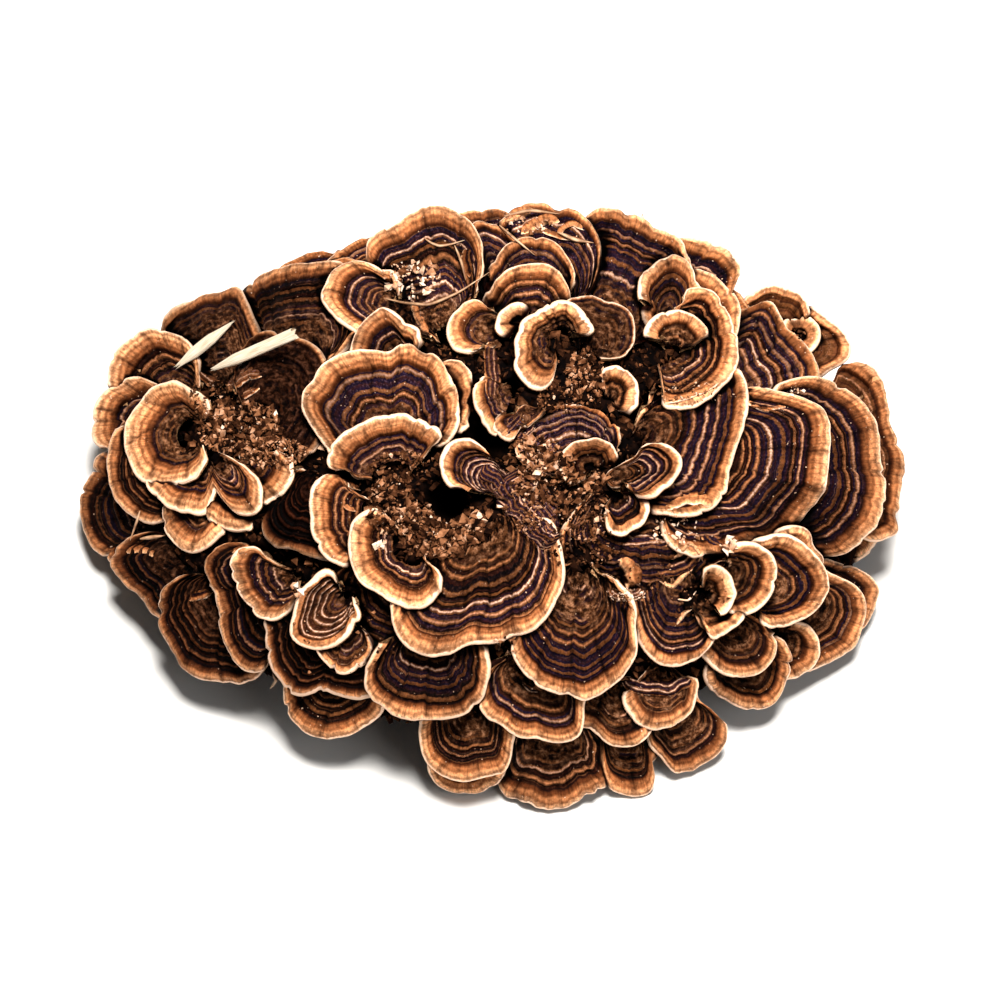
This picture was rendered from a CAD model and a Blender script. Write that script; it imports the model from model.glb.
"""Looks of a turkey tail fungus: dense banded caps, litter, crumbs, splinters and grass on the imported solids.

The tables repeat the solids' own, in millimetres and degrees. A picture position is in pixels of the
1000 x 1000 photograph, 0.3 mm each on the plane through the middle of the cut.
"""

import math

import bmesh
import bpy
import numpy as np
from mathutils import Matrix, Vector, noise
from mathutils.bvhtree import BVHTree


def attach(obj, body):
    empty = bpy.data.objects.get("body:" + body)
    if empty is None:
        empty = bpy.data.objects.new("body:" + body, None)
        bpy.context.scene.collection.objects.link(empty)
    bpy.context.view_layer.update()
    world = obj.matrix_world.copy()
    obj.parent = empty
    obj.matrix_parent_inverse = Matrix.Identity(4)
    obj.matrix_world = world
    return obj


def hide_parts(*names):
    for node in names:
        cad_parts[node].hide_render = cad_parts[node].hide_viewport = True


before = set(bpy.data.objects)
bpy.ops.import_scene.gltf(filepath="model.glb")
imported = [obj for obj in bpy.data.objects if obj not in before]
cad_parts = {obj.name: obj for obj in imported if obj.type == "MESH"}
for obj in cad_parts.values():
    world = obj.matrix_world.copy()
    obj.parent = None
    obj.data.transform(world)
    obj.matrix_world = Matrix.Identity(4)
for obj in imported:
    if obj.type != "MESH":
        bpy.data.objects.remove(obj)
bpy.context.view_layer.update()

MM = 0.001
MOUND = "litter_mound"
MOUND_AXES = np.array((108.0, 88.0, 76.0))
MOUND_DETAIL = 7
MOUND_LUMPS = 1.2
LUMP_SIZE = 16.0
FOOT_FADE = 14.0
FOOT_HEIGHT = 26.0
FOOT_SECTORS = ((-128.0, 34.0, 0.30), (-50.0, 12.0, 0.18))

SIGHT_DISTANCE = 1400.0
FRONT_SIGHT = (0.0, 55.0)
SEAT_SHARE = 0.65
WIDEST_LEAN = 46.0

ROOT_THICKNESS = 2.3
RIM_THICKNESS = 1.4
DROOP_RADIUS = 230.0
LAYER_GAP = 0.6
RISE_PAST_RIM = 0.8  # how fast a sheet may rise again beyond the rim that presses on it
RIM_REACH = 14.0  # and how far beyond it the rim still counts
BED_GAP = 0.3
BED_RISE = 4.0
GROUND_GAP = 0.6
STACK_BASE = 0.7  # for each sheet beneath, a sheet lies this much higher
STACK_LIFT = 1.8  # and its rim this much more
LIFT_END = 1.1
LIFT_CURVE = 1.4
WELD_DEPTH = 0.45
WELD_BLEND = 2.5
SHOULDER_SHARES = (0.84, 0.58)  # of the first and last reach, on the rounded steps at a lobe's ends
STEADY = 0.6  # how much the lower face follows the lobe's own direction
FAR = 1.0e4

PIXEL = 0.3  # millimetres on the plane for one pixel of the photograph
PICTURE_MIDDLE = (493.0, 535.0)  # the pixel where the middle of the cut shows
PICTURE_SIZE = 1000.0
SENSOR = 36.0

ALONG_STEP = 0.75  # between columns of a cap's mesh, along the rim
IN_STEP = 0.5  # and between its rows
TIER_COARSER = 1.9
UNDER_ROWS = (0.985, 0.9, 0.78, 0.64, 0.5, 0.36)


def unit(vectors):
    return vectors / np.maximum(np.linalg.norm(vectors, axis=-1, keepdims=True), 1e-9)


class Sight:
    """A sight line and its plane through the middle of the cut: across, up, and depth towards the eye."""

    def __init__(self, azimuth, elevation):
        turn, lift = math.radians(azimuth), math.radians(elevation)
        flat = np.array((math.sin(turn), -math.cos(turn), 0.0))
        self.toward = flat * math.cos(lift) + np.array((0.0, 0.0, math.sin(lift)))
        self.right = np.array((math.cos(turn), math.sin(turn), 0.0))
        self.up = np.cross(self.toward, self.right)
        self.eye = self.toward * SIGHT_DISTANCE

    def ray(self, across, up):
        """Where a point's sight line meets the plane, and its way towards the eye."""
        start = across[..., None] * self.right + up[..., None] * self.up
        return start, unit(self.eye - start)

    def place(self, across, up, depth):
        start, way = self.ray(across, up)
        return start + depth[..., None] * way

    def spot(self, points):
        """Where points show on the plane."""
        way = points - self.eye
        hit = self.eye + way * (-(self.eye @ self.toward) / (way @ self.toward))[..., None]
        return np.stack((hit @ self.right, hit @ self.up), axis=-1)


def mound_depth(sight, across, up):
    """Depth of the plain mound's surface on a sight line."""
    start, way = sight.ray(across, up)
    s, w = start / MOUND_AXES, way / MOUND_AXES
    a, b, c = (w * w).sum(-1), (s * w).sum(-1), (s * s).sum(-1) - 1.0
    inside = np.maximum(b * b - a * c, 0.0)
    return (-b + np.sqrt(inside)) / a


def smooth_step(x):
    x = np.clip(x, 0.0, 1.0)
    return x * x * (3.0 - 2.0 * x)


def soft_min(a, b, width=1.0):
    blend = np.clip(0.5 + 0.5 * (b - a) / width, 0.0, 1.0)
    return b + (a - b) * blend - width * blend * (1.0 - blend) * 0.5


class Lobe:
    """One fan-shaped sheet. Its order in the list says what lies over what."""

    stacked = 0.0

    def __init__(
        self, node, hub, arc, reach, root, lift, shoulders, trim=(0, 0), look=None, sight=None, base=None
    ):
        self.node = node
        self.look = look or node
        self.trim = trim
        self.hub = np.array(hub, dtype=float)
        self.start, self.end = (math.radians(a) for a in arc)
        shoulder = (self.end - self.start) / (len(reach) - 1) * shoulders
        self.start, self.end = self.start - shoulder, self.end + shoulder
        before = [reach[0] * share for share in SHOULDER_SHARES[:shoulders]][::-1]
        after = [reach[-1] * share for share in SHOULDER_SHARES[:shoulders]]
        self.reach = np.array(before + list(reach) + after, dtype=float)
        self.root = root
        self.lift = lift
        self.sight = sight or FRONT
        depth = mound_depth(self.sight, self.hub[0], self.hub[1])
        self.base = self.sight.place(self.hub[0], self.hub[1], depth) if base is None else base
        self.normal = self.lean() if base is None else self.sight.toward

    def lean(self):
        """The sheet's own direction: between the mound's slope and the sight line, and not too far aside."""
        toward = self.sight.toward
        mixed = unit(SEAT_SHARE * unit(self.base / MOUND_AXES**2) + (1.0 - SEAT_SHARE) * toward)
        widest = math.radians(WIDEST_LEAN)
        if math.acos(min(1.0, float(mixed @ toward))) > widest:
            aside = unit(mixed - (mixed @ toward) * toward)
            mixed = math.cos(widest) * toward + math.sin(widest) * aside
        return mixed

    def reach_at(self, angle):
        """How far the sheet reaches at an angle, smoothly through its own reaches."""
        steps = len(self.reach) - 1
        at = np.clip((angle - self.start) / (self.end - self.start), 0.0, 1.0) * steps
        i = np.minimum(at.astype(int), steps - 1)
        f = at - i
        before, after = self.reach[np.maximum(i - 1, 0)], self.reach[np.minimum(i + 2, steps)]
        here, there = self.reach[i], self.reach[i + 1]
        slope_here, slope_there = (there - before) / 2.0, (after - here) / 2.0
        return (
            here * (2 * f**3 - 3 * f**2 + 1)
            + there * (3 * f**2 - 2 * f**3)
            + slope_here * (f**3 - 2 * f**2 + f)
            + slope_there * (f**3 - f**2)
        )

    def polar(self, across, up):
        """Distance and angle from the hub, and how far the angle lies past the sheet's ends."""
        x, y = across - self.hub[0], up - self.hub[1]
        radius, angle = np.hypot(x, y), np.arctan2(y, x)
        middle = (self.start + self.end) / 2.0
        angle = middle + (angle - middle + math.pi) % (2.0 * math.pi) - math.pi
        beyond = np.maximum(self.start - angle, angle - self.end)
        return radius, angle, beyond

    def raw_depth(self, across, up):
        """Depth of the upper face before the other sheets press on it."""
        start, way = self.sight.ray(across, up)
        depth = ((self.base - start) @ self.normal) / (way @ self.normal)
        radius, angle, _ = self.polar(across, up)
        share = radius / self.reach_at(angle)
        away = start + depth[..., None] * way - self.base
        droop = (away * away).sum(-1) / (2.0 * DROOP_RADIUS)
        lift = self.lift + STACK_LIFT * self.stacked
        depth = depth + STACK_BASE * self.stacked + lift * np.minimum(share, LIFT_END) ** LIFT_CURVE - droop
        if self.sight is not FRONT:
            return depth
        bed = mound_depth(self.sight, across, up) + BED_GAP + BED_RISE * np.minimum(share, 1.0)
        return -soft_min(-depth, -bed)

    def outside(self, across, up):
        """How far a point lies past the outline, below 0 on the sheet."""
        radius, angle, beyond = self.polar(across, up)
        past_rim = radius - self.reach_at(angle)
        past_side = np.where(beyond > math.pi / 2.0, radius, radius * np.sin(np.clip(beyond, -1.5, 1.5)))
        both = np.hypot(np.maximum(past_rim, 0.0), np.maximum(past_side, 0.0))
        return np.where(both > 0.0, both, np.maximum(past_rim, past_side))


FRONT = Sight(*FRONT_SIGHT)

# Every lobe of the front, from the one on top to the one furthest down: its node, its hub's place on the
# plane, its first and last angle, its reach at even angles between, the share where the sheet starts, its
# lift, and the rounded steps at each end. Some say by what angle the sheet stops short of each end, and name
# a look.
LOBES = (
    ("twisted_cap", (8.1, 10.5), (126, 171), (22, 26, 27, 24, 20), 0.2, 9, 0),
    ("hollow_lower_cap", (-23.4, -3), (135, 314), (14, 19, 19, 19, 19, 18, 18, 18, 16, 13), 0.35, 5, 0),
    ("hollow_upper_cap", (-29.4, 15), (46, 167), (21, 21, 21, 21, 21, 22, 22), 0.35, 6, 0),
    ("hollow_left_cap", (-29.4, 6), (145, 229), (24, 26, 25, 25, 24, 21), 0.4, 5, 0),
    ("front_fan", (-0.9, 9), (-129, -29), (46, 49, 48, 42, 41, 40, 39, 36, 32, 28, 23), 0.12, 6, 2),
    ("cup_cap", (20.7, 59.1), (6, 254), (8.4, 8.9, 9.9, 10, 10, 12, 14, 17, 16), 0.3, 6, 0),
    ("ear_cap", (34.2, 39.9), (-22, 108), (8.1, 9.7, 11, 10), 0.15, 6, 0),
    ("brown_ridge_cap", (27.6, 55.5), (22, 113), (16, 17, 16, 16, 15), 0.15, 2, 2),
    ("curl_cap", (8.1, 62.7), (56, 222), (5.4, 5.8, 5.7, 4.3), 0.2, 4, 0),
    ("inner_right_cap", (32.1, 16.5), (-18, 34), (15, 19, 24, 24, 21), 0.1, 7, 0),
    ("inner_right_cap", (36.3, 13.5), (-107, -9), (11, 14, 13, 12, 8.6), 0.25, 5, 0),
    ("grey_cap", (29.1, 19.5), (16, 144), (8.8, 9.8, 9.3, 9.1), 0.2, 2, 2, (0, 0), "grey_crest"),
    ("small_centre_cap", (17.1, 39), (-172, -135), (16, 18, 17, 15), 0.15, 4, 0),
    ("small_centre_cap", (6.6, 44.1), (153, 249), (11, 12, 13, 14), 0.12, 4, 0),
    ("grey_cap", (24.6, 16.5), (59, 138), (22, 23, 23, 23, 24, 23), 0.15, 2, 2),
    ("curl_cap", (5.7, 60.3), (129, 209), (14, 17, 19, 18, 13), 0.08, 4, 0),
    ("arch_cap", (10.5, 57), (43, 136), (18, 22, 25, 24, 23, 21, 19), 0.12, 5, 2),
    ("inner_arch_cap", (54.6, 54.9), (23, 153), (12, 12, 12, 11, 9.2), 0.2, 4, 0),
    ("long_crescent_cap", (48.6, 54), (-82, 63), (15, 17, 20, 22, 24, 25, 25, 26, 23), 0.2, 6, 0),
    ("top_right_inner_cap", (52.5, 63), (57, 102), (16, 20, 22, 19), 0.2, 4, 2),
    ("right_centre_cap", (39.6, 27), (-57, 41), (25, 29, 32, 33, 32, 33, 36, 39, 41, 39), 0.15, 5, 2),
    ("left_centre_cap", (-29.4, 28.5), (18, 173), (20, 23, 25, 29, 30, 27, 29, 31, 31, 31, 24), 0.2, 4, 2),
    ("left_centre_cap", (-20.4, 37.5), (-16, 77), (13, 15, 17, 18, 15), 0.15, 0, 2),
    ("small_top_cap", (-25.5, 51.9), (99, 164), (12, 19, 19, 19, 18), 0.15, 5, 2),
    ("rolled_cap", (-27.3, 68.1), (-239, -164), (14, 20, 23, 24, 24, 21, 17), 0.15, 5, 2),
    ("lower_right_fan", (26.1, -6.3), (-132, -53), (31, 36, 39, 41, 42, 43, 41, 38, 34, 27), 0.12, 6, 2),
    ("right_low_cap", (63.3, -17.7), (-31, 74), (7.9, 8.2, 8.9, 8.6), 0.15, 5, 2, (50, 55)),
    ("right_low_cap", (66.6, -12), (-47, 56), (15, 17, 18, 18, 15, 11), 0.15, 5, 2, (0, 30)),
    ("right_low_cap", (59.1, -18.9), (-65, 1), (14, 15, 17, 15), 0.12, 5, 2, (44, 20)),
    ("right_shelf_cap", (76.5, -16.5), (-33, 65), (17, 21, 24, 24, 22, 21, 17), 0.15, 5, 2),
    ("right_shelf_cap", (87.6, -7.5), (-3, 78), (12, 9.6, 11, 10), 0.2, 1, 2),
    ("right_main_cap", (50.7, 24), (-74, 27), (31, 33, 37, 40, 45, 47, 50, 50, 51, 50, 41), 0.25, 4, 2),
    ("right_outer_cap", (72.6, 22.5), (-44, 47), (42, 45, 47, 47, 46, 44, 44, 43, 41, 38, 34), 0.3, 3, 2),
    ("top_right_inner_cap", (56.1, 60), (10, 119), (18, 20, 20, 20, 17, 16), 0.2, 2, 2),
    ("top_left_cap", (-13.5, 57), (80, 139), (38, 41, 42, 41, 40, 40, 38, 31), 0.15, 3, 2),
    ("striped_top_cap", (12.6, 60), (69, 128), (26, 29, 30, 29, 26, 23), 0.15, 2, 2),
    ("striped_top_cap", (7.5, 65.1), (103, 135), (29, 32, 27, 24), 0.2, 1, 2),
    ("striped_top_cap", (17.7, 61.5), (70, 116), (34, 37, 38, 38, 36), 0.2, 1, 2),
    ("top_right_cap", (32.7, 55.5), (29, 102), (32, 35, 38, 41, 41, 42, 43, 42, 37), 0.2, 3, 2),
    ("right_striped_cap", (66.6, 42), (-11, 70), (25, 29, 32, 32, 31, 30, 31, 33, 29), 0.2, 2, 2),
    ("upper_right_cap", (90.9, 59.1), (-45, 84), (5.1, 6.8, 7.4, 6.3), 0.2, 3, 2),
    ("upper_right_cap", (80.7, 54), (35, 94), (18, 21, 21, 19), 0.15, 1, 2),
    ("upper_right_cap", (86.1, 55.5), (-22, 49), (16, 21, 20, 17, 16), 0.15, 0, 2),
    ("far_right_cap", (83.1, 24), (-40, 50), (41, 45, 42, 41, 41, 39, 38, 39, 40, 40, 37), 0.4, 0, 0),
    ("top_right_cap", (50.1, 67.5), (16, 80), (24, 28, 27, 25, 23, 21), 0.3, -1, 2),
    ("striped_top_cap", (2.1, 70.5), (71, 121), (23, 27, 28, 29, 29), 0.4, 0, 2),
    ("lower_left_fan", (-18.9, -26.1), (-132, -46), (28, 29, 30, 29, 29, 29, 28, 24), 0.12, 5, 2),
    ("low_middle_cap", (12.6, -33.9), (-137, -51), (23, 25, 25, 27, 27, 29, 29, 23), 0.12, 4, 2),
    ("lower_right_cap", (56.1, -7.5), (-125, -61), (24, 29, 32, 31, 28, 24), 0.12, 4, 1),
    ("litter_mound", (39.9, -17.1), (27, 109), (2.9, 5.4, 9.2, 8.6), 0.2, 4, 0),
    ("lower_right_cap", (44.1, 18), (-133, -39), (35, 37, 38, 38, 39, 39, 41, 42, 42, 41), 0.2, 1, 2),
    ("lower_far_right_cap", (68.7, -24.9), (-102, 2), (14, 17, 19, 20, 19, 16, 10), 0.15, 4, 2),
    ("low_right_cap", (50.7, -38.1), (-128, -45), (17, 20, 20, 18, 14), 0.12, 4, 2, (25, 25)),
    ("low_left_cap", (-6.9, -48.9), (-141, -51), (19, 23, 25, 25, 24, 24, 19), 0.12, 3, 2),
    ("low_centre_cap", (34.5, -42.3), (-123, -46), (17, 18, 21, 22, 20), 0.12, 3, 2),
    ("lower_far_right_cap", (72.6, -33.9), (-111, 11), (15, 17, 20, 20, 18, 17, 14), 0.15, 2, 2),
    ("far_low_right_cap", (84.6, -31.5), (-83, -7), (12, 13, 14, 13), 0.2, 3, 2),
    ("far_low_right_cap", (89.1, -19.5), (-71, 24), (23, 23, 24, 23, 23, 21, 16), 0.15, 1, 2),
    ("far_low_right_cap", (93.6, -16.5), (-33, 37), (21, 21, 22, 18, 13), 0.2, -1, 2),
    ("low_right_cap", (50.7, -46.5), (-92, -16), (20, 25, 26, 26, 26, 25, 21, 12), 0.12, 2, 2),
    ("low_centre_cap", (38.1, -51), (-117, -60), (13, 19, 25, 27, 28, 27, 21), 0.12, 2, 2),
    ("low_left_cap", (-8.4, -63.9), (-159, -39), (12, 14, 14, 14, 14), 0.15, 1, 2),
    ("bottom_cap", (17.1, -53.1), (-130, -42), (26, 29, 29, 30, 29, 28, 28, 24), 0.12, 2, 2),
    ("left_rosette_cap", (-88.8, 30.9), (98, 249), (13, 17, 19, 20, 22, 22, 22, 19, 15), 0.3, 6, 2),
    ("left_rosette_low_cap", (-85.5, 26.4), (-151, -53), (21, 21, 21, 20, 19, 13, 21, 24), 0.3, 5, 2),
    ("left_rosette_low_cap", (-75.9, 24), (-113, 7), (14, 16, 16, 16, 16, 14), 0.1, 4, 0),
    ("striped_small_cap", (-42.9, -17.1), (165, 270), (12, 15, 18, 22, 20, 15, 9.3), 0.12, 4, 2),
    ("striped_small_cap", (-42.9, -22.5), (-132, -83), (15, 17, 19, 17), 0.12, 2, 2),
    ("white_edged_cap", (-57.9, -11.1), (154, 258), (19, 21, 20, 18, 18, 16, 12), 0.12, 4, 0),
    ("lower_left_fan", (-26.4, -7.5), (-159, -93), (26, 27, 29, 30, 31, 31), 0.15, 1, 2),
    ("left_dark_cap", (-50.4, 19.5), (-151, -73), (21, 26, 27, 26, 26, 27, 28), 0.1, 2, 2),
    ("left_pale_cap", (-78.9, 17.1), (-132, -70), (13, 14, 15, 15), 0.12, 3, 2),
    ("left_pale_cap", (-86.4, 11.1), (-150, -54), (15, 16, 16, 12, 9.8), 0.1, 1, 2),
    ("low_crescent_cap", (-44.4, -19.5), (-169, -66), (25, 26, 29, 31, 32, 28, 29, 30, 28), 0.12, 1, 0),
    ("upright_cap", (-59.4, -12), (146, 254), (18, 24, 28, 27, 25, 26, 28, 31, 32, 30), 0.15, 1, 0),
    ("left_edge_cap", (-86.4, 24), (163, 222), (28, 29, 30, 30, 28), 0.3, 1, 2),
    ("left_shoulder_cap", (-93.9, 34.5), (150, 208), (22, 25, 26, 26, 21), 0.2, 1, 2),
    ("left_shoulder_cap", (-89.4, 39.9), (109, 173), (22, 26, 27, 28, 27, 25), 0.15, 2, 2),
    ("front_left_low_cap", (-47.4, -38.1), (-149, -46), (18, 21, 23, 23, 22, 21, 20), 0.12, 1, 2),
    ("left_low_cap", (-79.5, -12), (-157, -70), (23, 26, 27, 30, 32, 32, 33, 30), 0.12, 1, 2),
    ("left_low_cap", (-90.9, -5.1), (-174, -104), (24, 22, 20, 21, 22), 0.2, -1, 2),
    ("left_edge_cap", (-98.4, 9), (142, 228), (25, 24, 26, 26, 26, 25, 23), 0.2, -1, 2),
    ("back_left_cap", (-71.4, 33), (-53, 86), (18, 18, 19, 20, 22, 25, 28, 30, 29, 28), 0.25, 1, 2, (0, 0),
     "left_ring"),
    ("left_crown_cap", (-81.3, 40.5), (72, 130), (28, 34, 33, 33, 31, 31, 28), 0.15, 0, 2),
    ("back_left_cap", (-62.4, 41.1), (58, 114), (42, 44, 42, 41, 39, 37, 33), 0.15, -1, 2),
)

TIERS = (
    # name, height of the roots, first and last azimuth of the lobes, number of lobes, reach
    ("back_upper_caps", 50.0, 44.0, 132.0, 6, 31.0),
    ("back_middle_caps", 31.0, 17.0, 161.0, 8, 31.0),
    ("back_low_caps", 15.0, 4.0, 176.0, 9, 31.0),
)
TIER_SWEEP = 140.0
TIER_ELEVATION = 76.0
TIER_INSET = 8.0
TIER_SIDE_INSET = 10.0
TIER_SIDE_FROM = 0.7
TIER_STEP = 0.6
TIER_ROOT = 0.15
TIER_SHAPES = (
    (0.8, 0.95, 1.0, 1.05, 1.0, 0.9, 0.8),
    (0.85, 1.0, 0.92, 0.9, 1.05, 1.0, 0.85),
    (0.75, 0.9, 1.05, 1.1, 0.95, 0.92, 0.8),
)


def tier_lobes():
    """The rows of grown-together caps at the back, each lobe seen along a steep line of its own."""
    lobes = []
    for name, height, first, last, count, reach in TIERS:
        for k in range(count):
            azimuth = math.radians(first + (last - first) * k / (count - 1))
            level = math.sqrt(1.0 - (height / MOUND_AXES[2]) ** 2)
            out = np.array((math.cos(azimuth) * MOUND_AXES[0], math.sin(azimuth) * MOUND_AXES[1], 0.0))
            way = unit(out / MOUND_AXES**2)
            sideways = max(0.0, abs(math.cos(azimuth)) - TIER_SIDE_FROM) / (1.0 - TIER_SIDE_FROM)
            inset = TIER_INSET + TIER_SIDE_INSET * sideways
            point = out * level - way * inset + np.array((0.0, 0.0, height + (k % 2) * TIER_STEP))
            turn = math.degrees(math.atan2(way[1], way[0]))
            sight = Sight(turn + 90.0, TIER_ELEVATION)
            reaches = [reach * share for share in TIER_SHAPES[(k * 2 + count) % len(TIER_SHAPES)]]
            arc = (-90.0 - TIER_SWEEP / 2.0, -90.0 + TIER_SWEEP / 2.0)
            hub = sight.spot(point)
            lobes.append(Lobe(name, hub, arc, reaches, TIER_ROOT, 0, 0, sight=sight, base=point))
    return lobes


STACK_SAMPLES = (9, 5)  # angles and distances from the hub
STACK_FROM = 0.35


def count_stacks(lobes):
    """Gives each lobe the number of lobes that lie beneath it, on average over its face."""
    for i, lobe in enumerate(lobes):
        angles = np.linspace(lobe.start, lobe.end, STACK_SAMPLES[0])[:, None]
        radius = lobe.reach_at(angles) * np.linspace(STACK_FROM, 1.0, STACK_SAMPLES[1])[None, :]
        across = lobe.hub[0] + radius * np.cos(angles)
        up = lobe.hub[1] + radius * np.sin(angles)
        beneath = [other for other in lobes[i + 1:] if other.sight is lobe.sight]
        lobe.stacked = sum(float((other.outside(across, up) < 0.0).mean()) for other in beneath)


def settle(lobes, index, across, up):
    """Depth of a lobe's upper face, joined to its own node and pressed down by what lies over it."""
    own = lobes[index]
    ceiling = np.full(np.shape(across), FAR)
    target = own.raw_depth(across, up)
    for lobe in lobes[:index]:
        if lobe.sight is not own.sight:
            continue
        outside = lobe.outside(across, up)
        near = outside < RIM_REACH
        if not near.any():
            continue
        level = soft_min(lobe.raw_depth(across, up), ceiling)
        drop = (ROOT_THICKNESS + LAYER_GAP) / float(lobe.normal @ lobe.sight.toward)
        if lobe.node == own.node:
            drop = ROOT_THICKNESS * WELD_DEPTH
            inward = smooth_step(-outside / WELD_BLEND)
            target = target + (level - drop - target) * inward
        pressed = level - drop + RISE_PAST_RIM * np.maximum(outside, 0.0)
        ceiling = np.where(near, np.minimum(ceiling, pressed), ceiling)
    return soft_min(target, ceiling)


NOISE_SIDE = 256
SEED_STEP = (31.7, 17.3)
NOISE_TABLE = np.random.default_rng(11).random((NOISE_SIDE, NOISE_SIDE))


def ripple(x, y, seed):
    """Smooth noise from -1 to 1 over a plane, one cell to a unit. Another seed gives another noise."""
    x, y = (np.asarray(value, dtype=float) + seed * step for value, step in zip((x, y), SEED_STEP))
    i, j = np.floor(x).astype(int), np.floor(y).astype(int)
    f, g = x - i, y - j
    f, g = f * f * (3.0 - 2.0 * f), g * g * (3.0 - 2.0 * g)
    i, j, n, m = i % NOISE_SIDE, j % NOISE_SIDE, (i + 1) % NOISE_SIDE, (j + 1) % NOISE_SIDE
    low = NOISE_TABLE[i, j] * (1.0 - f) + NOISE_TABLE[n, j] * f
    high = NOISE_TABLE[i, m] * (1.0 - f) + NOISE_TABLE[n, m] * f
    return (low * (1.0 - g) + high * g) * 2.0 - 1.0


# ---------------------------------------------------------------- caps

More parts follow.
